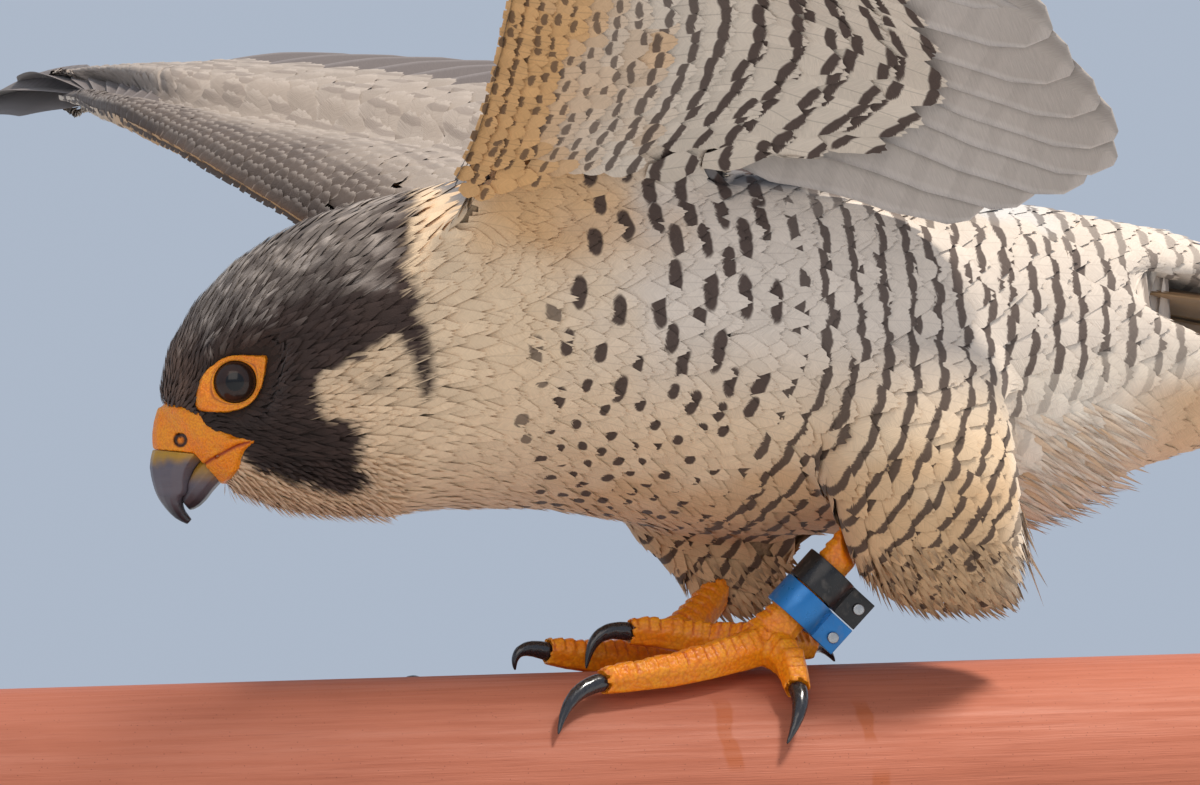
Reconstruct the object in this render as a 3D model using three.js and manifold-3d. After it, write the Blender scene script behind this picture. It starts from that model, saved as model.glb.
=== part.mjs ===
// A life-size peregrine falcon leaning forward on a round rail, wings raised, head low.
// Millimetres, +Z up, the bird faces -X, its left side is at -Y. The origin is the middle
// of the display base's underside.
import * as THREE from "three";
import { mergeVertices } from "three/addons/utils/BufferGeometryUtils.js";
import Module from "manifold-3d";

const wasm = await Module();
wasm.setup();

// Driving sizes
const GAP = 0.45; // clearance that touching pieces keep
const RAIL_RADIUS = 42;
const RAIL_LENGTH = 408;
const RAIL_AXIS_HEIGHT = 84;
const BASE_SIZE = [300, 220, 14];
const ROD_RADIUS = 7;
const ROD_SPACING = 180;
const BODY_ROLL = 10; // degrees, left side up
const BODY_SIDES = 22;
const HEAD_TURN = 20; // degrees to the bird's right
const HEAD_ROLL = 4;
const HEAD_CENTRE = [-107.3, 13, 214]; // middle of the head, between the eyes
const EYE_RADIUS = 8.5;
const EYE_OUT = 13; // eyeball centre from the middle of the head
const IRIS_OPENING = 6;
const LID_RISE = 1.2; // how far the lids stand out past the opening's rim

const V = (x, y, z) => new THREE.Vector3(x, y, z);
const rad = THREE.MathUtils.degToRad;

// Material colours, one per finish
const finish = (color, roughness, metalness = 0) =>
  new THREE.MeshStandardMaterial({ color, roughness, metalness });
const HOOD = finish(0x3c3632, 0.85);
const BREAST = finish(0xe6d6ba, 0.9);
const BARRED = finish(0xcfc8bf, 0.9);
const SLATE = finish(0x8d8883, 0.8);
const UNDERWING = finish(0xb9ad9b, 0.85);
const YELLOW_SKIN = finish(0xf09a10, 0.5);
const BILL_HORN = finish(0x5c5a62, 0.35);
const EYE_DARK = finish(0x120d0a, 0.05);
const CLAW_HORN = finish(0x18171a, 0.3);
const BAND_BLACK = finish(0x1d1d1f, 0.4, 0.3);
const BAND_BLUE = finish(0x1f6fae, 0.4, 0.3);
const RIVET_METAL = finish(0xa9adb2, 0.35, 0.9);
const RAIL_PAINT = finish(0xb1664e, 0.6);
const STAND_METAL = finish(0x3a3c3f, 0.5, 0.6);

// Solids

function solidOf(geometry) {
  const bare = geometry.index ? geometry.toNonIndexed() : geometry.clone();
  bare.deleteAttribute("normal");
  bare.deleteAttribute("uv");
  const merged = mergeVertices(bare, 1e-4);
  const mesh = new wasm.Mesh({
    numProp: 3,
    vertProperties: new Float32Array(merged.attributes.position.array),
    triVerts: new Uint32Array(merged.index.array),
  });
  return new wasm.Manifold(mesh);
}

function largest(solid) {
  const bodies = solid.decompose();
  return bodies.reduce((a, b) => (b.volume() > a.volume() ? b : a));
}

const union = (solids) => solids.reduce((a, b) => a.add(b));

function geometryOf(solid) {
  const mesh = solid.getMesh();
  const position = new THREE.BufferAttribute(new Float32Array(mesh.vertProperties), 3);
  const geometry = new THREE.BufferGeometry().setAttribute("position", position);
  geometry.setIndex(new THREE.BufferAttribute(new Uint32Array(mesh.triVerts), 1));
  geometry.computeVertexNormals();
  return geometry;
}

// A closed skin over rings of equal count, each ring a list of points, ends closed flat.
function loft(rings) {
  const count = rings[0].length;
  const faces = [];
  rings.slice(1).forEach((_, k) => {
    for (let i = 0; i < count; i++) {
      const j = (i + 1) % count;
      const a = k * count + i;
      const b = k * count + j;
      faces.push(a, b, b + count, a, b + count, a + count);
    }
  });
  const end = (rings.length - 1) * count;
  for (let i = 1; i < count - 1; i++) faces.push(0, i + 1, i, end, end + i, end + i + 1);
  return outward(rings.flat(), faces);
}

// The solid over points and faces, its faces turned outwards
function outward(points, faces) {
  const geometry = new THREE.BufferGeometry().setFromPoints(points);
  geometry.setIndex(faces);
  const solid = solidOf(geometry);
  if (solid.volume() > 0) return solid;
  geometry.setIndex(faces.reverse());
  return solidOf(geometry);
}

// The loops with both ends moved out by grow, for a solid that clears its neighbour all round.
function lengthened(loops, grow) {
  const centre = (ring) => ring.reduce((sum, p) => sum.add(p), V(0, 0, 0)).divideScalar(ring.length);
  const push = (ring, inner) => {
    const step = centre(ring).sub(centre(inner)).setLength(grow);
    return ring.map((p) => p.clone().add(step));
  };
  return [push(loops[0], loops[1]), ...loops, push(loops.at(-1), loops.at(-2))];
}

// Rows of numbers smoothed to count rows by one natural spline through them.
function smoothed(rows, count) {
  const steps = rows.map((_, i) => i);
  const spline = new THREE.CubicInterpolant(steps, rows.flat(), rows[0].length);
  const at = (i) => Array.from(spline.evaluate((i / (count - 1)) * (rows.length - 1)));
  return Array.from({ length: count }, (_, i) => at(i));
}

// An oval ring: side and up are unit directions, narrow pulls in the upper half.
function oval(centre, side, up, width, height, narrow, sides) {
  return Array.from({ length: sides }, (_, i) => {
    const turn = (2 * Math.PI * i) / sides;
    const reach = width * Math.cos(turn) * (1 - narrow * Math.sin(turn));
    const lift = height * Math.sin(turn);
    return centre.clone().addScaledVector(side, reach).addScaledVector(up, lift);
  });
}

// A tube of changing radius along a curve, with a ring at each of its stations, and
// ridge(t, turn) the share by which the surface stands proud.
function limb(path, radii, { sides = 8, rings = 12, up = V(0, 0, 1), stations, ridge } = {}) {
  const curve = new THREE.CatmullRomCurve3(path, false, "centripetal");
  const sizes = new THREE.CubicInterpolant(radii.map((_, i) => i / (radii.length - 1)), radii, 1);
  const shares = stations || Array.from({ length: rings }, (_, k) => k / (rings - 1));
  const loops = shares.map((t) => {
    const [radius] = sizes.evaluate(t);
    const along = curve.getTangentAt(t);
    const side = V(0, 0, 0).crossVectors(along, up).normalize();
    const high = V(0, 0, 0).crossVectors(side, along);
    const centre = curve.getPointAt(t);
    return Array.from({ length: sides }, (_, i) => {
      const turn = (2 * Math.PI * i) / sides;
      const reach = radius * (1 + (ridge ? ridge(t, turn) : 0));
      return centre
        .clone()
        .addScaledVector(side, reach * Math.cos(turn))
        .addScaledVector(high, reach * Math.sin(turn));
    });
  });
  return loft(loops);
}

function ball(centre, size, across = 16, down = 10) {
  const geometry = new THREE.SphereGeometry(1, across, down);
  geometry.scale(...size);
  geometry.translate(...centre.toArray());
  return solidOf(geometry);
}

// A thin plate through a point, used to part two neighbours.
function partingPlate(point, normal) {
  const geometry = new THREE.BoxGeometry(400, 400, GAP);
  const turn = new THREE.Quaternion().setFromUnitVectors(V(0, 0, 1), normal.clone().normalize());
  geometry.applyQuaternion(turn);
  geometry.translate(point.x, point.y, point.z);
  return solidOf(geometry);
}

// The head's own frame: x forward, y to the left, z up, origin between the eyes
const headForward = V(-Math.cos(rad(HEAD_TURN)), Math.sin(rad(HEAD_TURN)), 0);
const headLeft = V(
  -Math.sin(rad(HEAD_TURN)) * Math.cos(rad(HEAD_ROLL)),
  -Math.cos(rad(HEAD_TURN)) * Math.cos(rad(HEAD_ROLL)),
  -Math.sin(rad(HEAD_ROLL)),
);
const headUp = V(0, 0, 0).crossVectors(headForward, headLeft);
const headMatrix = new THREE.Matrix4()
  .makeBasis(headForward, headLeft, headUp)
  .setPosition(...HEAD_CENTRE);
const inHead = (x, y, z) => V(x, y, z).applyMatrix4(headMatrix);

// Head, neck and torso as one smooth form.
// Head sections in the head's frame: forward, up, half width, half height, lean, narrowing.
const HEAD_SECTIONS = [
  [13.5, -19.7, 9.5, 14.6, 39, 0.1],
  [9.5, -16, 15, 22.6, 35, 0.1],
  [3.2, -10, 19.5, 30.5, 26, 0.1],
  [-7, -3, 24.5, 37.3, 15, 0.08],
  [-19.6, 0.7, 28, 42.1, 11.5, 0.08],
  [-30.6, 3, 31, 44.9, 9.5, 0.08],
  [-40.4, 4.5, 34, 46.5, 7, 0.06],
];
// Body sections in the part's frame: x, z, half width, half height, lean, narrowing.
const BODY_SECTIONS = [
  [-53, 221.5, 41, 46.8, 6, 0.04],
  [-34, 223.4, 50, 47.8, 1, 0],
  [-10, 224.5, 55, 49.5, -2.6, -0.04],
  [17, 222.4, 57, 52.4, -2.7, -0.04],
  [45, 220.2, 56, 54.4, -2.7, -0.02],
  [73, 219.2, 53, 53.4, -2.7, 0],
  [96, 216.9, 47, 52, -2.7, -0.05],
  [116, 215, 40, 49.6, -2.4, -0.12],
  [136, 214.6, 34, 46.4, -2, -0.12],
  [156, 216.6, 28.5, 41.2, -2, -0.08],
  [178, 219.2, 24, 35.3, -2, -0.04],
  [196, 218.5, 20, 30.5, -2, 0],
  [213, 214, 15, 22, -2, 0],
  [228, 209, 8, 11, -2, 0],
];

function bodyRows() {
  const head = HEAD_SECTIONS.map(([x, z, width, height, lean, narrow]) => {
    const up = headUp.clone().multiplyScalar(Math.cos(rad(lean)));
    up.addScaledVector(headForward, Math.sin(rad(lean)));
    return [...inHead(x, 0, z), ...up, ...headLeft, width, height, narrow];
  });
  const side = V(0, -Math.cos(rad(BODY_ROLL)), Math.sin(rad(BODY_ROLL)));
  const body = BODY_SECTIONS.map(([x, z, width, height, lean, narrow]) => {
    const up = V(-Math.sin(rad(lean)), 0, Math.cos(rad(lean)));
    return [x, 0, z, ...up, ...side, width, height, narrow];
  });
  return [...head, ...body];
}

function bodyForm(grow, rings = 26) {
  const rows = smoothed(bodyRows(), rings);
  const loops = rows.map((row) => {
    const side = V(...row.slice(6, 9)).normalize();
    const up = V(...row.slice(3, 6)).normalize();
    const [width, height, narrow] = row.slice(9);
    return oval(V(...row.slice(0, 3)), side, up, width + grow, height + grow, narrow, BODY_SIDES);
  });
  return loft(loops);
}

// Bill and cere sections in the head's frame: front edge, rear edge, half width, narrowing.
const CERE_SECTIONS = [
  [[23.6, -6.6], [11, -10.5], 6.5, 0.35],
  [[25, -11], [5, -14.5], 8.5, 0.4],
  [[25.6, -15], [2, -18], 9.4, 0.45],
  [[25.5, -18.4], [6, -21.2], 8.8, 0.4],
];
const UPPER_BILL_SECTIONS = [
  [[25.6, -18.8], [9.2, -20.9], 8.4, 0.4],
  [[26.6, -23.4], [12.8, -24.4], 7.6, 0.4],
  [[26, -28], [14.6, -28.4], 6.6, 0.35],
  [[25.2, -31], [15.2, -31.4], 5.8, 0.32],
  [[24.2, -33.2], [17.4, -32.8], 5.2, 0.3],
  [[22.2, -36.2], [17.6, -35.4], 4, 0.25],
  [[19.6, -38.9], [16.8, -37.4], 2.3, 0.2],
  [[16.6, -40.6], [15.4, -39.4], 1, 0],
];
const LOWER_BILL_SECTIONS = [
  [[6, -17.6], [4.6, -28], 9, -0.1],
  [[10.6, -20], [7.6, -30.4], 8, -0.1],
  [[14.6, -23.4], [10.6, -34], 6.8, -0.1],
  [[17.2, -28], [13.4, -36.2], 5.2, -0.1],
  [[18.6, -32.6], [15.6, -36.8], 3.4, -0.1],
];

function billForm(sections, grow, rings, sides = 12) {
  const rows = smoothed(sections.map(([a, b, width, narrow]) => [...a, ...b, width, narrow]), rings);
  const loops = rows.map(([frontX, frontZ, rearX, rearZ, width, narrow]) => {
    const front = inHead(frontX, 0, frontZ);
    const rear = inHead(rearX, 0, rearZ);
    const half = front.distanceTo(rear) / 2 + grow;
    const up = front.clone().sub(rear).normalize();
    const centre = front.add(rear).multiplyScalar(0.5);
    return oval(centre, headLeft, up, width + grow, half, narrow, sides);
  });
  return loft(grow ? lengthened(loops, grow) : loops);
}

// Nostril: a round pit in the cere's side with a small knob standing in it. out is the
// distance from the head's middle plane.
const NOSTRIL = {
  forward: 17.8,
  up: -15.7,
  pit: { radius: 2.1, out: 7.9 },
  knob: { radius: 1.05, out: 5.7 },
};

function nostril(side, { radius, out }) {
  return ball(inHead(NOSTRIL.forward, side * out, NOSTRIL.up), [radius, radius, radius], 7, 5);
}

// Ridges and grooves of the face: points in the head's frame and the radius at each.
// The brow shades the eye. The mouth's line is a groove from the bill back to the gape, and
// the cere's narrow corner runs back over it.
const BROW = { path: [[11, 14, 7], [2, 18.5, 11], [-9, 22.5, 9]], radii: [1.8, 3.4, 1.6] };
const MOUTH_LINE = { path: [[9, 10, -22.4], [4, 17, -20.6], [-2, 20.6, -18]], radii: [1, 0.9, 0.6] };
const GAPE = { path: [[10, 8, -17], [4.5, 15.4, -17.6], [-1.5, 20, -16.4]], radii: [3.4, 2.6, 0.7] };

function faceLimb({ path, radii }, side, grow = 0) {
  const points = path.map(([forward, out, up]) => inHead(forward, side * out, up));
  return limb(points, radii.map((radius) => radius + grow), { rings: 4, sides: 5 });
}

// Claws as curved horns from a base point by way of a high point to a tip
function claw(base, crest, tip, radius, grow) {
  const curve = new THREE.QuadraticBezierCurve3(base, crest, tip);
  const path = [0, 0.25, 0.5, 0.75, 1].map((t) => curve.getPoint(t));
  const up = V(0, 0, 0).crossVectors(tip.clone().sub(base), crest.clone().sub(base));
  const radii = [1, 0.9, 0.72, 0.45, 0.12].map((share) => radius * share + grow);
  return limb(path, radii, {
    sides: 7,
    rings: 7,
    up: up.lengthSq() > 1e-6 ? up.normalize() : V(0, 0, 1),
  });
}

// Legs
const THIGHS = {
  left: [
    [78, -34, 216, 34, 22],
    [82, -40, 190, 31, 21],
    [86, -39, 168, 30, 18.5],
    [91.5, -34, 152, 26.5, 15],
    [95.5, -31, 143.5, 20, 9.5],
    [98, -30, 139.5, 11, 4],
  ],
  right: [
    [58, 30, 212, 36, 20],
    [52, 36, 190, 33, 19],
    [47, 35, 172, 30, 16],
    [50, 31, 157, 20, 12],
    [48, 28, 147, 11, 8],
    [48, 27, 143, 6, 5],
  ],
};
// Each toe: points from the ball of the foot to the claw base, then the claw's high point and tip.
const FEET = {
  left: {
    tarsus: [[41.5, -17, 133], [52, -20, 143], [64, -25, 157], [76, -28, 170]],
    toes: [
      { path: [[44, -13, 132], [53, -6, 132], [62, -1, 131.5]], claw: [[68, 4, 134], [73, 7, 127.2]] },
      { path: [[40, -14, 132.5], [27, -5, 134.3], [14, -3, 136.6], [4.7, -2, 137.2]],
        claw: [[-7, -1, 141], [-8.4, -1, 126.8]] },
      { path: [[40, -19, 131], [24, -24, 127.5], [8, -27.5, 124.4], [-15, -30.5, 121.6]],
        claw: [[-27, -34.5, 120.5], [-31.5, -38.8, 106.6]] },
      { path: [[42, -19, 131], [45, -27, 126.6], [44.5, -35, 117.4]],
        claw: [[44.5, -42.5, 113], [37.5, -42.6, 101.6]] },
    ],
  },
  right: {
    tarsus: [[23.5, 18, 133], [36, 21, 142.5], [46.5, 25, 154], [56, 28, 168]],
    toes: [
      { path: [[26, 16, 132], [33, 14, 131.5], [40, 13, 131]], claw: [[47, 13, 134], [51, 13, 127]] },
      { path: [[22, 16, 131.5], [8, 11, 130.3], [-6, 9, 131], [-17.5, 8, 132.6]],
        claw: [[-29, 8, 136.5], [-27.4, 8, 127.4]] },
      { path: [[22, 20, 130], [4, 26.5, 122.6], [-16, 31.5, 118], [-38, 34, 116.4]],
        claw: [[-56, 32, 133.5], [-57, 24, 122.2]] },
      { path: [[24, 20, 131], [22, 29, 125.6], [16, 37, 114]],
        claw: [[13, 44, 109], [7, 43.4, 98.4]] },
    ],
  },
};
const TOE_RADIUS = 5.2;
const TARSUS_RADIUS = 5.2;
const CLAW_RADIUS = 3.2;
const CLAW_ROOT = 1.5; // how far a claw's root sits in its toe
const SCUTE_RISE = 0.17; // a scute's step, as a share of the toe's radius
const TOE_NAMES = ["hallux", "inner", "middle", "outer"];

function thigh(side, grow) {
  const rows = smoothed(THIGHS[side], 12);
  return loft(rows.map(([x, y, z, length, width]) =>
    oval(V(x, y, z), V(1, 0, 0), V(0, 1, 0), length + grow, width + grow, 0, 18)));
}

// Pads swell a toe's underside, and scutes step down along its top like roof tiles.
function toeRidge(pads, scutes) {
  return (t, turn) => {
    const under = Math.max(0, -Math.sin(turn));
    const over = Math.max(0, Math.sin(turn));
    const pad = 0.16 * under * Math.abs(Math.sin(Math.PI * pads * t));
    return pad + SCUTE_RISE * over * (1 - ((scutes * t) % 1));
  };
}

// Two rings for each scute, one at each side of its step
function scuteStations(scutes) {
  const steps = Array.from({ length: scutes }, (_, k) => k);
  return steps.flatMap((k) => [(k + 0.02) / scutes, (k + 0.96) / scutes]);
}

function foot(side) {
  const { tarsus, toes } = FEET[side];
  const shin = limb(tarsus.map((p) => V(...p)), [7, 5.4, TARSUS_RADIUS, 6.2], { rings: 6, sides: 9 });
  const pad = ball(V(...tarsus[0]).add(V(0, 0, -2)), [8.5, 7.5, 6], 9, 5);
  const digits = toes.map(({ path }, k) => {
    const radii = k ? [TOE_RADIUS + 0.8, TOE_RADIUS, TOE_RADIUS * 0.9, TOE_RADIUS * 0.8] : [5, 4.6, 4.4];
    const scutes = path.length + 1;
    const ridge = toeRidge(path.length, scutes);
    return limb(path.map((p) => V(...p)), radii, { stations: scuteStations(scutes), ridge, sides: 6 });
  });
  return union([shin, pad, ...digits]);
}

function clawOf(toe, grow) {
  const end = V(...toe.path.at(-1));
  const out = end.clone().sub(V(...toe.path.at(-2))).normalize();
  const start = end.addScaledVector(out, -CLAW_ROOT - grow);
  return claw(start, V(...toe.claw[0]), V(...toe.claw[1]), CLAW_RADIUS, grow);
}

// Feathers

// Share of the full width at each share of the length, for a round-ended and a pointed vane
const ROUND_VANE = [[0, 0.32], [0.3, 0.92], [0.87, 0.92], [1, 0.3]];
const POINTED_VANE = [[0, 0.35], [0.3, 1], [0.78, 0.8], [1, 0.14]];
const COVERT_VANE = [[0, 0.6], [0.66, 1], [1, 0.34]];
const VANE_THICKNESS = 0.6;

// One flat tapered vane along a path from quill to tip. distal is the side whose edge lies
// over the next vane, and tilt lifts that edge.
function vane({ path, up, distal, width, tilt, shape = ROUND_VANE }) {
  const along = path(1).sub(path(0)).normalize();
  const edge = V(0, 0, 0).crossVectors(along, up).normalize();
  if (edge.dot(distal) < 0) edge.negate();
  const high = V(0, 0, 0).crossVectors(edge, along).normalize();
  if (high.dot(up) < 0) high.negate();
  const across = edge.clone().applyAxisAngle(along, rad(tilt));
  if (across.dot(high) * tilt < 0) across.copy(edge).applyAxisAngle(along, -rad(tilt));
  const normal = V(0, 0, 0).crossVectors(along, across).normalize();
  return loft(shape.map(([t, share]) => {
    const centre = path(t);
    const half = (width / 2) * share;
    const thick = (VANE_THICKNESS / 2) * (1 - 0.35 * t);
    return [[1, 1], [-1, 1], [-1, -1], [1, -1]].map(([a, b]) =>
      centre.clone().addScaledVector(across, a * half).addScaledVector(normal, b * thick));
  }));
}

// Wings. flesh: leading edge point, rear edge point, thickness, from shoulder to hand tip.
// flights: feather number from the innermost out, quill root, tip, direction of the upper side.
const FLIGHT_COUNT = 22;
const FIRST_PRIMARY = 12;
const WINGS = {
  left: {
    flesh: [
      [-68, -37, 250, 28, -33, 258, 26],
      [-56, -58, 280, 32, -58, 288, 20],
      [-52, -82, 318, 16, -77, 320, 15],
      [-51, -95, 350, -12, -94, 349, 12],
      [-53, -105, 380, -35, -108, 383, 10],
      [-47, -124, 412, -31, -126, 414, 8],
      [-40, -142, 446, -28, -144, 447, 6],
      [-35, -158, 478, -29, -158, 478, 3.5],
    ],
    flights: [
      [0, 26, -46, 276, 104, -52, 258, 0, 0.8, 0.6],
      [3, 24, -66, 308, 138, -70, 268, 0, 0.86, 0.5],
      [7, -6, -88, 342, 110, -92, 303, 0, 0.88, 0.47],
      [11, -40, -107, 378, 86, -112, 356, 0, 0.88, 0.47],
      [12, -41, -112, 389, 80, -121, 380, 0, 0.88, 0.47],
      [16, -37, -129, 421, 64, -166, 478, 0, 0.88, 0.47],
      [19, -34, -141, 444, 40, -218, 590, 0, 0.88, 0.47],
      [20, -33, -145, 451, 22, -241, 638, 0, 0.88, 0.47],
      [21, -33, -149, 458, 5, -243, 640, 0, 0.88, 0.47],
    ],
  },
  right: {
    flesh: [
      [-58, 28, 246, 22, 36, 268, 26],
      [-77, 60, 268, 8, 78, 284, 20],
      [-89, 90, 284, -14, 104, 292, 15],
      [-95, 118, 295, -46, 126, 300, 12],
      [-100, 150, 306, -82, 154, 310, 10],
      [-99, 180, 312, -83, 182, 315, 8],
      [-96, 208, 318, -83, 209, 320, 6],
      [-92, 238, 322, -85, 238, 323, 3.5],
    ],
    flights: [
      [0, 14, 62, 276, 84, 78, 286, -0.15, -0.5, 0.85],
      [3, -6, 98, 289, 96, 142, 311, -0.14, -0.48, 0.86],
      [7, -44, 126, 300, 66, 178, 322, -0.14, -0.42, 0.89],
      [11, -86, 154, 311, 18, 222, 331, -0.18, -0.25, 0.95],
      [12, -87, 161, 313, 6, 242, 334, -0.2, -0.2, 0.96],
      [16, -86, 193, 318, -28, 328, 341, -0.2, -0.12, 0.97],
      [19, -85, 215, 321, -46, 420, 344, -0.2, -0.08, 0.98],
      [20, -85, 222, 322, -54, 458, 343, -0.2, -0.08, 0.98],
      [21, -85, 229, 322, -62, 446, 341, -0.2, -0.08, 0.98],
    ],
  },
};
// Coverts: face (1 upper, -1 under), share of the flight feather they start and end at,
// height off the flight feathers at root and tip, and the flight numbers they run between.
const COVERT_TIERS = [
  { face: 1, from: -0.07, to: 0.5, low: 3, high: 4, first: 1, last: 11, count: 7 },
  { face: 1, from: -0.12, to: 0.26, low: 5, high: 6.2, first: 1, last: 11, count: 5 },
  { face: -1, from: -0.07, to: 0.66, low: 3, high: 4, first: 1, last: 11, count: 7 },
  { face: -1, from: -0.12, to: 0.4, low: 5, high: 6.2, first: 1, last: 11, count: 5 },
  { face: 1, from: -0.03, to: 0.3, low: 2.4, high: 4, first: 12.2, last: 20.4, count: 5 },
  { face: -1, from: -0.03, to: 0.26, low: 2.4, high: 4, first: 12.2, last: 20.4, count: 5 },
];
const COVERT_WIDTH = 18;
const COVERT_TILT = 7;
const FLIGHT_WIDTH = 28;
const FLIGHT_TILT = 7;
const FLIGHT_ARCH = 4; // how far a flight feather bows upwards
const ALULA = { count: 3, length: 58, width: 11, step: 5, low: 2.4, rise: 3, tilt: -6 };

// A flight feather's quill line: point(t) from root to tip, t below 0 runs on into the flesh.
function flightAt(side) {
  const rows = WINGS[side].flights;
  const spline = new THREE.CubicInterpolant(
    rows.map((r) => r[0]), rows.flatMap((r) => r.slice(1)), rows[0].length - 1);
  const rootAt = (number) => V(...Array.from(spline.evaluate(number)).slice(0, 3));
  return (number) => {
    const row = Array.from(spline.evaluate(number));
    const root = V(...row.slice(0, 3));
    const tip = V(...row.slice(3, 6));
    const up = V(...row.slice(6)).normalize();
    const distal = rootAt(number + 0.2).sub(rootAt(number - 0.2)).normalize();
    const sweep = number < FIRST_PRIMARY ? 4 : -5;
    const point = (t) => {
      const hump = 4 * t * (1 - t);
      return root.clone().lerp(tip, t)
        .addScaledVector(distal, sweep * hump)
        .addScaledVector(up, FLIGHT_ARCH * hump);
    };
    return { root, tip, up, distal, point };
  };
}

function wingFlesh(side) {
  const rows = smoothed(WINGS[side].flesh, 11);
  const outward = side === "left" ? 1 : -1;
  const profile = [[0, 0], [0.12, 0.38], [0.45, 0.46], [1, 0.16], [1, -0.14], [0.5, -0.32], [0.12, -0.3]];
  return loft(rows.map((row, k) => {
    const lead = V(...row.slice(0, 3));
    const chord = V(...row.slice(3, 6)).sub(lead);
    const next = rows[Math.min(k + 1, rows.length - 1)];
    const last = rows[Math.max(k - 1, 0)];
    const span = V(next[0] - last[0], next[1] - last[1], next[2] - last[2]);
    const normal = V(0, 0, 0).crossVectors(chord, span).normalize().multiplyScalar(-outward);
    return profile.map(([along, out]) =>
      lead.clone().addScaledVector(chord, along).addScaledVector(normal, out * row[6]));
  }));
}

function wingFeathers(side) {
  const at = flightAt(side);
  const flights = Array.from({ length: FLIGHT_COUNT }, (_, number) => {
    const { point, up, distal } = at(number);
    const shape = number > FIRST_PRIMARY + 3 ? POINTED_VANE : ROUND_VANE;
    const path = (t) => point(t * 1.04 - 0.04);
    return vane({ path, up, distal, width: FLIGHT_WIDTH, tilt: FLIGHT_TILT, shape });
  });
  const coverts = COVERT_TIERS.flatMap(({ face, from, to, low, high, first, last, count }) =>
    Array.from({ length: count }, (_, k) => {
      const { point, up, distal } = at(first + ((last - first) * k) / (count - 1));
      const path = (t) =>
        point(from + (to - from) * t).addScaledVector(up, face * (low + (high - low) * t));
      return vane({ path, up, distal, width: COVERT_WIDTH, tilt: COVERT_TILT, shape: COVERT_VANE });
    }));
  return [...flights, ...coverts];
}

function alula(side) {
  const { flesh } = WINGS[side];
  const { up, root, tip } = flightAt(side)(FIRST_PRIMARY + 2);
  const wrist = V(...flesh[4].slice(0, 3));
  const hand = V(...flesh[6].slice(0, 3)).sub(wrist).normalize();
  const back = tip.clone().sub(root).normalize();
  return Array.from({ length: ALULA.count }, (_, k) => {
    const start = wrist.clone().addScaledVector(hand, 8).addScaledVector(back, 4 + ALULA.step * k);
    start.addScaledVector(up, ALULA.low);
    const end = start.clone().addScaledVector(hand, ALULA.length - 9 * k).addScaledVector(back, 3 + 2 * k);
    end.addScaledVector(up, ALULA.rise);
    const path = (t) => start.clone().lerp(end, t);
    const distal = back.clone().negate();
    return vane({ path, up, distal, width: ALULA.width, tilt: ALULA.tilt, shape: COVERT_VANE });
  });
}

const wing = (side) => union([wingFlesh(side), ...wingFeathers(side), ...alula(side)]);

// Tail: a stump with twelve vanes folded over each other, the middle pair uppermost.
// The slot in the rump runs from the stump to the rear: reach, half height, drop.
const TAIL_ROOT = [130, 0, 240];
const TAIL_LENGTH = 158;
const TAIL_SLOPE = 10; // degrees below level
const TAIL_PAIRS = 6;
const TAIL_SPREAD = 5.5; // degrees from the middle line to the outermost vane
const TAIL_VANE_WIDTH = 24;
const TAIL_STACK = 1; // how far each pair lies below the one before
const TAIL_ROOT_HALF = 13;
const TAIL_STUMP = [[0, 13, 4], [8, 12, 4], [20, 11, 3.6], [30, 10, 3.2]]; // reach, half width, half height
const TAIL_VANE_REACH = 10; // where the vanes' quills start
const TAIL_SLOT = [[-GAP, 5.2, 0], [30, 7.6, 2.4], [70, 9.6, 4.4], [120, 9.6, 4.4]];
const TAIL_SLOT_SIDE = 3; // room beside the stump
const TAIL_SLOT_SPREAD = 0.3; // how fast the slot widens

function tailFrame() {
  const along = V(Math.cos(rad(TAIL_SLOPE)), 0, -Math.sin(rad(TAIL_SLOPE)));
  const left = V(0, -Math.cos(rad(BODY_ROLL)), Math.sin(rad(BODY_ROLL)));
  const up = V(0, 0, 0).crossVectors(left, along).negate().normalize();
  if (up.z < 0) up.negate();
  left.crossVectors(up, along);
  if (left.y > 0) left.negate();
  return { along, left, up };
}

// A tail vane's inner half stops at the tail's middle line, so that left and right never cross.
function tailVane(side, rank) {
  const { along, left, up } = tailFrame();
  const out = left.clone().multiplyScalar(side);
  const share = (rank + 0.5) / TAIL_PAIRS;
  const root = V(...TAIL_ROOT)
    .addScaledVector(along, TAIL_VANE_REACH)
    .addScaledVector(up, TAIL_STACK * (2.5 - rank));
  const length = TAIL_LENGTH - TAIL_VANE_REACH - 6 * share * share;
  const spread = Math.tan(rad(TAIL_SPREAD)) * length;
  return loft(ROUND_VANE.map(([t, widthShare]) => {
    const off = share * ((TAIL_ROOT_HALF - 5) + spread * t);
    const half = (TAIL_VANE_WIDTH / 2) * widthShare;
    const inner = Math.max(off - half, GAP);
    const centre = root.clone().addScaledVector(along, length * t);
    const thick = VANE_THICKNESS / 2;
    return [[off + half, 1], [inner, 1], [inner, -1], [off + half, -1]].map(([a, b]) =>
      centre.clone().addScaledVector(out, a).addScaledVector(up, b * thick));
  }));
}

function tail() {
  const { along, left, up } = tailFrame();
  const stump = loft(TAIL_STUMP.map(([reach, width, height]) =>
    oval(V(...TAIL_ROOT).addScaledVector(along, reach), left, up, width, height, 0, 12)));
  const ranks = Array.from({ length: TAIL_PAIRS }, (_, rank) => rank);
  return union([stump, ...ranks.flatMap((rank) => [tailVane(1, rank), tailVane(-1, rank)])]);
}

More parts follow.
